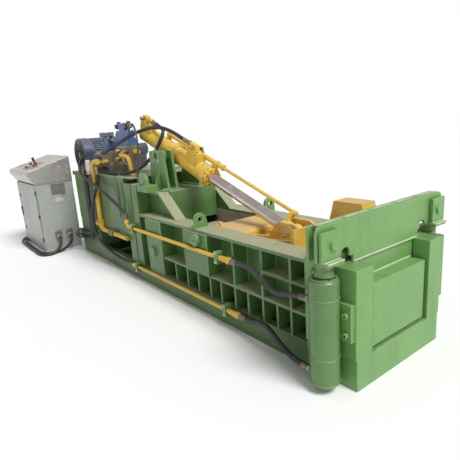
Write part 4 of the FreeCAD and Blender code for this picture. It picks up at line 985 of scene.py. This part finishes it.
def addMainCylinderTrim():
    mesh = bmesh.new()
    for a, b in around(12):
        bolt(mesh, (-2.44, 0.161 * a, 0.377 + 0.161 * b), (-1, 0, 0), 0.011)
    piece("mainFlangeBolts", mesh, "boltSteel", width=0.0006)
    mesh = bmesh.new()
    for x in (-3.86, -3.7, -2.6):
        beadRound(mesh, (x, 0, 0.377), (1, 0, 0), 0.139, 0.006)
    ring(mesh, 0.139, 0.152, 0.05, (-3.88, 0, 0.377), (1, 0, 0), 48)
    piece("mainCylinderRings", mesh, "cylinderGreen")


addPipeFittings()
addMainCylinderTrim()


# oil tank and power unit

dress("tankGreen", 0, "oil_tank")
dress("motorBlue", 0.002, "motor_body")
dress("coverBlue", 0.0015, "fan_cover")
dress("blackPaint", 0.0015, "pump")
dress("darkSteel", 0.001, "motor_rotor")
dress("bareSteel", 0.002, "manifold")
dress("valveBlue", 0.002, "directional_valves")
dress("blackPlastic", 0.002, "solenoids")
dress("beigePlastic", 0.002, "oil_filter")

tankTrim = {"rear": -4.0, "front": -2.576, "half": 0.42, "leg": -3.4}


def addTankTrim():
    t = tankTrim
    mesh = bmesh.new()
    for side in (-1, 1):
        y = side * (t["half"] + 0.001)
        bead(mesh, (t["rear"], y, 1.003), (t["front"], y, 1.003), 0.004)
        bead(mesh, (t["leg"], y, 0.432), (t["front"], y, 0.432), 0.004)
        for x in (-2.76, -2.73, -2.65, -2.62):
            bead(mesh, (x, y, 0.6), (x, y, 0.96), 0.004)
        for x in (t["rear"], t["front"]):
            bead(mesh, (x, side * t["half"], 0.44), (x, side * t["half"], 1.0), 0.004)
    piece("tankSeams", mesh, "greenWeld", width=0)
    mesh = bmesh.new()
    lathe(mesh, [(0, 0), (0.15, 0), (0.15, 0.012), (0.145, 0.015), (0, 0.015)],
          (-2.86, 0.25, 1.013), (0, 0, 1), 56)
    for x, y in ((-2.79, -0.33), (-3.86, 0.3)):
        lathe(mesh, [(0, 0), (0.045, 0), (0.045, 0.012), (0, 0.012)], (x, y, 1.013),
              (0, 0, 1), 36)
    block(mesh, (-3.93, -3.5), (-0.27, 0.2), (1.013, 1.024))
    piece("tankCovers", mesh, "tankGreen")
    mesh = bmesh.new()
    for a, b in around(12, 0):
        bolt(mesh, (-2.86 + 0.133 * a, 0.25 + 0.133 * b, 1.028), (0, 0, 1), 0.007)
    for x in (-3.855, -3.615):
        for y in (-0.22, 0.03):
            bolt(mesh, (x + 0.03 * (1 if x > -3.7 else -1), y + 0.03, 1.05), (0, 0, 1), 0.008)
    for a, b in around(6):
        bolt(mesh, (-3.974, -0.462 + 0.051 * a, 0.233 + 0.051 * b), (1, 0, 0), 0.0075,
             washer=False)
    for a, b in around(6, 0):
        capScrew(mesh, (-2.888, -0.45 + 0.028 * a, 0.4 + 0.028 * b), (1, 0, 0), 0.005)
    piece("tankBolts", mesh, "boltSteel", width=0.0005)
    mesh = bmesh.new()
    lathe(mesh, [(0, 0), (0.067, 0), (0.067, 0.022), (0.06, 0.025), (0.03, 0.025), (0.03, 0)],
          (-3.9985, -0.462, 0.233), (1, 0, 0), 40)
    lathe(mesh, [(0.037, 0), (0.038, 0.004), (0.038, 0.026), (0.034, 0.03), (0.034, 0.044),
                 (0.0385, 0.048), (0.0385, 0.078), (0.034, 0.082), (0.034, 0.098),
                 (0.0375, 0.102), (0.0375, 0.108), (0.025, 0.108), (0.025, 0)],
          (-2.997, -0.45, 0.4), (1, 0, 0), 36, True)
    piece("tankBlackParts", mesh, "blackPaint")
    mesh = bmesh.new()
    block(mesh, (-2.579, -2.5725), (0.3, 0.34), (0.62, 0.86))
    lathe(mesh, [(0, 0), (0.033, 0), (0.033, 0.03), (0.03, 0.036), (0, 0.04)],
          (-2.79, -0.33, 1.025), (0, 0, 1), 32)
    piece("tankBreather", mesh, "blackPlastic")


motor = {"x": -3.705, "z": 1.213, "near": -0.3, "far": 0.09}


def addMotorTrim():
    m = motor
    centre = (m["x"], 0, m["z"])
    mesh = bmesh.new()
    for k in range(40):
        turn = math.tau * k / 40
        if 0.3 < math.cos(turn - math.pi / 2):
            continue
        fin = Matrix.Translation(centre) @ Matrix.Rotation(turn, 4, "Y")
        block(mesh, (0.16, 0.178), (m["near"], m["far"]), (-0.0022, 0.0022), fin)
    for y in (-0.322, 0.1):
        ring(mesh, 0.15, 0.176, 0.024, (m["x"], y, m["z"]), (0, 1, 0), 48)
    piece("motorFins", mesh, "motorBlue", width=0)
    mesh = bmesh.new()
    block(mesh, (m["x"] - 0.066, m["x"] + 0.066), (-0.136, 0.006), (1.43, 1.439))
    block(mesh, (m["x"] - 0.058, m["x"] + 0.058), (-0.128, -0.002), (1.439, 1.446))
    lathe(mesh, [(0.017, 0), (0.028, 0), (0.028, 0.012), (0.017, 0.012)],
          (m["x"] + 0.062, -0.065, 1.4), (1, 0, 0), 28, True)
    ring(mesh, 0.014, 0.024, 0.012, (m["x"] + 0.006, 0.07, 1.412), (-1, 0, 0), 28)
    lathe(mesh, [(0, 0), (0.016, 0), (0.012, 0.014), (0, 0.014)], (m["x"], 0.07, 1.376),
          (0, 0, 1), 24)
    piece("motorBox", mesh, "motorBlue")
    mesh = bmesh.new()
    for x in (-0.05, 0.05):
        for y in (-0.12, -0.01):
            capScrew(mesh, (m["x"] + x, y, 1.446), (0, 0, 1), 0.0055)
    for a, b in around(6):
        capScrew(mesh, (m["x"] + 0.187 * a, -0.345, m["z"] + 0.187 * b), (a, 0, b), 0.005)
    block(mesh, (m["x"] + 0.11, m["x"] + 0.16), (-0.2, -0.11), (1.315, 1.335))
    piece("motorScrews", mesh, "boltSteel", width=0.0004)
    mesh = bmesh.new()
    for radius in (0.05, 0.078, 0.106, 0.134, 0.162):
        beadRound(mesh, (m["x"], -0.423, m["z"]), (0, -1, 0), radius, 0.0025)
    foot = Vector((m["x"], -0.4225, m["z"]))
    for a, b in around(8):
        out = Vector((a, 0, b))
        sweep(mesh, [foot + out * 0.03, foot + out * 0.1, foot + out * 0.178], 0.0028, 6)
    lathe(mesh, [(0, 0), (0.034, 0), (0.034, 0.004), (0.028, 0.007), (0, 0.007)],
          (m["x"], -0.42, m["z"]), (0, -1, 0), 32)
    ring(mesh, 0.186, 0.1885, 0.012, (m["x"], -0.418, m["z"]), (0, 1, 0), 56)
    piece("fanGuard", mesh, "blackPaint", width=0.0004)


valveBlock = {"face": -0.262, "end": -2.69}


def addValveTrim():
    face, end = valveBlock["face"], valveBlock["end"]
    mesh = bmesh.new()
    for x in (-2.958, -2.88, -2.79, -2.707):
        for z in (1.13, 1.288):
            capScrew(mesh, (x, face, z), (0, -1, 0), 0.0085)
    for z in (1.13, 1.288):
        for y in (-0.245, -0.178):
            capScrew(mesh, (end, y, z), (1, 0, 0), 0.0085)
    for x in (-2.985, -2.735):
        for y in (-0.236, -0.18):
            capScrew(mesh, (x, y, 1.452), (0, 0, 1), 0.007)
    for x in (-2.92, -2.815):
        for y in (-0.23, -0.186):
            capScrew(mesh, (x, y, 1.528), (0, 0, 1), 0.006)
    for x in (-3.265, -3.165):
        for y in (-0.295, -0.205):
            capScrew(mesh, (x, y, 1.34), (0, 0, 1), 0.006)
    for z in (1.05, 1.12, 1.2):
        capScrew(mesh, (-3.27, -0.33, z), (0, -1, 0), 0.008)
    piece("valveScrews", mesh, "boltSteel", width=0.0005)
    mesh = bmesh.new()
    for x in (-2.95, -2.72):
        lathe(mesh, [(0, 0), (0.014, 0), (0.014, 0.01), (0.009, 0.012), (0, 0.012)],
              (x, face, 1.21), (0, -1, 0), 6)
    for x, z in ((-2.92, 1.17), (-2.92, 1.25), (-2.75, 1.17), (-2.75, 1.25)):
        fitting(mesh, (x, -0.284, z), (0, -1, 0), 0.023, 0.03)
    fitting(mesh, (-3.105, -0.405, 1.24), (1, 0, 0), 0.021, 0.03)
    fitting(mesh, (-3.145, -0.405, 1.24), (-1, 0, 0), 0.021, 0.03)
    fitting(mesh, (-3.15, -0.455, 1.105), (0, 0, -1), 0.021, 0.04)
    fitting(mesh, (-3.425, -0.318, 1.1), (1, 0, 0), 0.022, 0.045)
    for x in (-3.5, -3.455):
        fitting(mesh, (x, -0.33, 1.085), (0, -1, 0), 0.021, 0.03)
    piece("valveFittings", mesh, "brass", width=0.0006)
    mesh = bmesh.new()
    for start, stop, y, z, radius in ((-3.04, -3.062, -0.208, 1.497, 0.019),
                                     (-2.71, -2.686, -0.208, 1.497, 0.019),
                                     (-3.335, -3.35, -0.25, 1.365, 0.017),
                                     (-3.1, -3.085, -0.25, 1.365, 0.017)):
        lathe(mesh, [(0, 0), (radius, 0), (radius, abs(stop - start) * 0.7),
                     (radius * 0.8, abs(stop - start)), (0, abs(stop - start))], (start, y, z),
              (math.copysign(1, stop - start), 0, 0), 28)
    for x in (-3.01, -2.965, -2.775, -2.73):
        ring(mesh, 0.0245, 0.0275, 0.014, (x - 0.005, -0.208, 1.497), (1, 0, 0), 30)
    for x in (-3.26, -3.17):
        ring(mesh, 0.0235, 0.027, 0.01, (x - 0.005, -0.25, 1.365), (1, 0, 0), 30)
    piece("solenoidCaps", mesh, "boltSteel", width=0.0006)
    mesh = bmesh.new()
    for x in (-2.988, -2.755):
        block(mesh, (x - 0.018, x + 0.018), (-0.222, -0.194), (1.517, 1.545))
        block(mesh, (x - 0.02, x + 0.02), (-0.25, -0.228), (1.48, 1.52))
    for x in (-3.295, -3.14):
        block(mesh, (x - 0.016, x + 0.016), (-0.265, -0.235), (1.384, 1.41))
    piece("solenoidPlugs", mesh, "blackPlastic", width=0.002)
    # bent hard pipes: return from the block to the tank, pilot line, and a feed at the far side
    mesh = bmesh.new()
    sweep(mesh, curved([(-2.835, -0.262, 1.22), (-2.835, -0.292, 1.22), (-2.8, -0.31, 1.217),
                        (-2.705, -0.304, 1.205), (-2.665, -0.292, 1.172), (-2.655, -0.286, 1.1),
                        (-2.655, -0.285, 1.015)]), 0.02, 16)
    lathe(mesh, [(0, 0), (0.034, 0), (0.034, 0.01), (0.025, 0.014), (0.025, 0.03), (0, 0.03)],
          (-2.655, -0.285, 1.013), (0, 0, 1), 28)
    fitting(mesh, (-2.835, -0.262, 1.22), (0, -1, 0), 0.027, 0.03)
    fitting(mesh, (end, -0.205, 1.24), (1, 0, 0), 0.026, 0.05)
    lathe(mesh, [(0, 0), (0.019, 0), (0.019, 0.05), (0.016, 0.056), (0, 0.056)],
          (end + 0.045, -0.205, 1.24), (1, 0, 0), 24)
    piece("returnBend", mesh, "pipeYellow", width=0.0008)
    mesh = bmesh.new()
    sweep(mesh, curved([(-2.688, -0.208, 1.5), (-2.61, -0.235, 1.51), (-2.51, -0.262, 1.461),
                        (-2.44, -0.285, 1.357), (-2.415, -0.302, 1.244), (-2.41, -0.322, 1.12),
                        (-2.42, -0.335, 1.02), (-2.42, -0.338, 0.958)]), 0.0095, 12)
    piece("pilotLine", mesh, "blackPaint", width=0)
    mesh = bmesh.new()
    sweep(mesh, curved([(-2.33, 0.29, 0.9), (-2.33, 0.3, 1.0), (-2.31, 0.29, 1.11),
                        (-2.25, 0.27, 1.2), (-2.19, 0.25, 1.215)]), 0.009, 12)
    fitting(mesh, (-2.33, 0.29, 0.898), (0, 0, 1), 0.016, 0.03)
    piece("greaseLine", mesh, "greenPaint", width=0.0006)


addTankTrim()
addMotorTrim()
addValveTrim()

hood = {"low": 0.681, "top": 0.87}


def addHoodTrim():
    mesh = bmesh.new()
    corners = [(-0.6, 0.252), (-0.285, 0.252), (-0.285, 0.415), (-0.6, 0.415)]
    heads = [(-0.556, 0.262), (-0.325, 0.262), (-0.325, 0.405), (-0.556, 0.405)]
    for i in range(4):
        j = (i + 1) % 4
        bead(mesh, (*corners[i], hood["low"]), (*heads[i], hood["top"]), 0.0035)
        bead(mesh, (*corners[i], hood["low"] + 0.002), (*corners[j], hood["low"] + 0.002), 0.005)
        bead(mesh, (*heads[i], hood["top"]), (*heads[j], hood["top"]), 0.0035)
    piece("hoodSeams", mesh, "yellowPaint", width=0)
    mesh = bmesh.new()
    for side in (-1, 1):
        for x in (-1.366, -1.334):
            bead(mesh, (x, side * 0.3, 0.683), (x, side * 0.42, 0.683), 0.006)
        for x in (-1.335, -1.369):
            ring(mesh, 0.0245, 0.031, 0.004, (x, side * 0.369, 0.752), (1, 0, 0), 32)
        bead(mesh, (-2.28, side * 0.4, 0.96), (-2.116, side * 0.4, 0.96), 0.006)
        beadRound(mesh, (-2.198, side * 0.4, 0.992), (0, side, 0), 0.027)
    piece("lugSeams", mesh, "greenWeld", width=0)


addHoodTrim()
print("power unit done")


# control desk

dress("deskGrey", 0.002, "desk_body", "desk_door")
dress("brushedPlate", 0.003, "control_panel")
dress("orangePlastic", 0.002, "stop_button")
dress("blackPlastic", 0.002, "start_button", "joystick")
dress("redPlastic", 0.004, "emergency_stop")

desk = {"rear": -5.214, "front": -4.274, "near": -0.84, "panelNear": -0.913,
        "panelLow": 1.036, "panelHigh": 1.19, "far": -0.38,
        "glands": ((-0.662, 0.187), (-0.52, 0.19)), "rearGlands": ((-0.56, 0.134), (-0.7, 0.12))}


def addDeskTrim():
    d = desk
    slope = math.atan2(d["panelHigh"] - d["panelLow"], d["far"] - d["panelNear"])
    plate = (Matrix.Translation((0, d["panelNear"], d["panelLow"]))
             @ Matrix.Rotation(slope, 4, "X"))
    mesh = bmesh.new()
    for x in (-5.09, -4.43):
        block(mesh, (x - 0.06, x + 0.06), (0.09, 0.2), (0, 0.0025), plate)
    block(mesh, (-4.77, -4.51), (0.06, 0.31), (0.001, 0.0032), plate)
    skin = bmesh.new()
    block(skin, (d["rear"] - 0.026, d["front"] + 0.006), (0.004, 0.53), (0, 0.0015), plate)
    piece("deskSlopeSkin", skin, "deskTop", width=0.0005)
    for x in (-5.135, -5.045, -4.475, -4.385):
        for y in (0.105, 0.185):
            capScrew(mesh, (x, y, 0.0025), (0, 0, 1), 0.004, plate)
    piece("deskPlates", mesh, "brushedPlate", width=0.0008)
    mesh = bmesh.new()
    for x in (-5.0, -4.93, -4.86):
        lathe(mesh, [(0, 0), (0.014, 0), (0.014, 0.006), (0.011, 0.008), (0.011, 0.012),
                     (0.006, 0.016), (0, 0.017)], (x, 0.33, 0), (0, 0, 1), 28, False, plate)
    piece("deskLamps", mesh, "beigePlastic", width=0.0006)
    mesh = bmesh.new()
    for x, y, radius in ((-4.72, 0.12, 0.021), (-4.64, 0.12, 0.021), (-4.56, 0.182, 0.03),
                         (-4.64, 0.222, 0.028)):
        ring(mesh, radius * 0.62, radius, 0.008, (x, y, 0), (0, 0, 1), 36, plate)
    lathe(mesh, [(0.019, 0.008), (0.026, 0.012), (0.02, 0.018), (0.024, 0.023), (0.017, 0.029),
                 (0.02, 0.034), (0.013, 0.04), (0.012, 0.008)], (-4.64, 0.222, 0), (0, 0, 1), 32,
          True, plate)
    block(mesh, (-4.9, -4.85), (0.2, 0.235), (0, 0.022), plate)
    piece("deskBezels", mesh, "blackPlastic", width=0.001)
    mesh = bmesh.new()
    face = d["near"] - 0.012
    for z in (0.15, 0.45, 0.75):
        lathe(mesh, [(0, 0), (0.0065, 0), (0.0095, 0.003), (0.0095, 0.047), (0.0065, 0.05),
                     (0, 0.05)], (d["front"] - 0.006, face, z), (0, 0, 1), 20)
        block(mesh, (d["front"] - 0.03, d["front"] - 0.006), (face - 0.0035, face), (z, z + 0.05))
    piece("deskHinges", mesh, "blackPaint", "desk_door", 0.0008)
    mesh = bmesh.new()
    for z in (0.22, 0.68):
        lathe(mesh, [(0, 0), (0.02, 0), (0.02, 0.006), (0.016, 0.009), (0.006, 0.009),
                     (0.006, 0.006), (0, 0.006)], (d["rear"] + 0.07, face, z), (0, -1, 0), 32)
    block(mesh, (d["rear"] + 0.045, d["rear"] + 0.068), (face - 0.012, face), (0.4, 0.52))
    lathe(mesh, [(0, 0), (0.009, 0), (0.009, 0.008), (0, 0.009)],
          (d["rear"] + 0.056, face - 0.012, 0.495), (0, -1, 0), 20)
    piece("deskLocks", mesh, "blackPaint", "desk_door", 0.001)
    mesh = bmesh.new()
    left, right, low, high = d["rear"] + 0.006, d["front"] - 0.006, 0.046, 0.87
    for a, b in (((left + 0.03, right - 0.03), (low + 0.024, low + 0.032)),
                 ((left + 0.03, right - 0.03), (high - 0.032, high - 0.024)),
                 ((left + 0.024, left + 0.032), (low + 0.03, high - 0.03)),
                 ((right - 0.032, right - 0.024), (low + 0.03, high - 0.03))):
        block(mesh, a, (face - 0.0025, face + 0.001), b)
    piece("deskDoorFold", mesh, "deskGrey", "desk_door", 0.0012)
    mesh = bmesh.new()
    for y in ((-0.668, -0.66), (-0.486, -0.478)):
        block(mesh, (d["front"] - 0.002, d["front"] + 0.005), y, (0.7, 0.868))
    for z in ((0.7, 0.708), (0.86, 0.868)):
        block(mesh, (d["front"] - 0.002, d["front"] + 0.005), (-0.668, -0.478), z)
    for y in (-0.77, -0.45):
        for z in (0.1, 0.8):
            capScrew(mesh, (d["front"], y, z), (1, 0, 0), 0.005)
    block(mesh, (d["rear"] + 0.02, d["front"] - 0.02), (-0.832, -0.39), (0, 0.004))
    for x in (d["rear"] + 0.08, d["front"] - 0.08):
        bead(mesh, (x, -0.379, 0.02), (x, -0.379, 0.86), 0.002)
    piece("deskFrame", mesh, "deskGrey", width=0.0008)
    mesh = bmesh.new()
    block(mesh, (d["front"] - 0.001, d["front"] + 0.0012), (-0.66, -0.486), (0.708, 0.86))
    piece("deskWindow", mesh, "greyPlastic", width=0.0005)
    mesh = bmesh.new()
    block(mesh, (d["front"] - 0.001, d["front"] + 0.0035), (-0.625, -0.525), (0.632, 0.682))
    piece("deskBlankPlate", mesh, "beigePlastic", width=0.0005)
    mesh = bmesh.new()
    for y, z in d["glands"]:
        block(mesh, (d["front"] + 0.018, d["front"] + 0.024), (y - 0.036, y + 0.036),
              (0.156, 0.266))
        block(mesh, (d["front"] + 0.02, d["front"] + 0.03), (y - 0.026, y + 0.026),
              (0.212, 0.256))
        for side in (-1, 1):
            block(mesh, (d["front"] + 0.002, d["front"] + 0.03),
                  sorted((y + side * 0.033, y + side * 0.038)), (0.2, 0.24))
    piece("deskConnectors", mesh, "greyPlastic", width=0.002)
    mesh = bmesh.new()
    for y, z in d["glands"]:
        lathe(mesh, [(0.0175, 0), (0.025, 0), (0.026, 0.003), (0.026, 0.012), (0.0225, 0.018),
                     (0.0175, 0.018)], (d["front"] + 0.022, y, z), (1, 0, 0), 12, True)
    piece("deskGlandNuts", mesh, "beigePlastic", width=0.0008)
    mesh = bmesh.new()
    for y, z in d["rearGlands"]:
        lathe(mesh, [(0.0175, 0), (0.027, 0), (0.027, 0.012), (0.0225, 0.02), (0.0175, 0.02)],
              (d["rear"], y, z), (-1, 0, 0), 12, True)
    piece("deskRearGlands", mesh, "blackPlastic", width=0.0008)


addDeskTrim()
print("desk done")


# floor and light

studio = {"floor": 60, "sun": 3.0, "sunTurn": (34, 14, 74), "softness": 24,
          "sky": {"From Min": 0.05, "From Max": 0.35, "To Min": 0.95, "To Max": 0.4}}


def addStudio():
    bpy.ops.mesh.primitive_plane_add(size=studio["floor"], location=(-2, 0, 0))
    floor = bpy.context.object
    floor.name = "floor"
    finish = Finish("floorFinish")
    tone = finish.smooth(finish.noise(0.6, 4), 0.3, 0.7)
    finish.set(Base_Color=finish.blend(tone, (0.9, 0.9, 0.895), (0.88, 0.88, 0.875)),
               Roughness=tone * 0.1 + 0.6)
    floor.data.materials.append(finish.material)
    light = bpy.data.lights.new("sun", "SUN")
    light.energy = studio["sun"]
    light.angle = math.radians(studio["softness"])
    lamp = bpy.data.objects.new("sun", light)
    lamp.rotation_euler = [math.radians(angle) for angle in studio["sunTurn"]]
    scene.collection.objects.link(lamp)
    world = bpy.data.worlds.new("studio")
    scene.world = world
    world.use_nodes = True
    tree = world.node_tree
    back = tree.nodes["Background"]
    back.inputs["Color"].default_value = (1, 1, 1, 1)
    spot = tree.nodes.new("ShaderNodeTexCoord")
    parts = tree.nodes.new("ShaderNodeSeparateXYZ")
    sky = tree.nodes.new("ShaderNodeMapRange")
    for key, value in studio["sky"].items():
        sky.inputs[key].default_value = value
    tree.links.new(spot.outputs["Generated"], parts.inputs[0])
    tree.links.new(parts.outputs["Z"], sky.inputs["Value"])
    seen = tree.nodes.new("ShaderNodeLightPath")
    lit = tree.nodes.new("ShaderNodeMath")
    lit.operation = "MAXIMUM"
    tree.links.new(sky.outputs[0], lit.inputs[0])
    tree.links.new(seen.outputs["Is Camera Ray"], lit.inputs[1])
    tree.links.new(lit.outputs[0], back.inputs["Strength"])
    scene.view_settings.view_transform = "Standard"


addStudio()
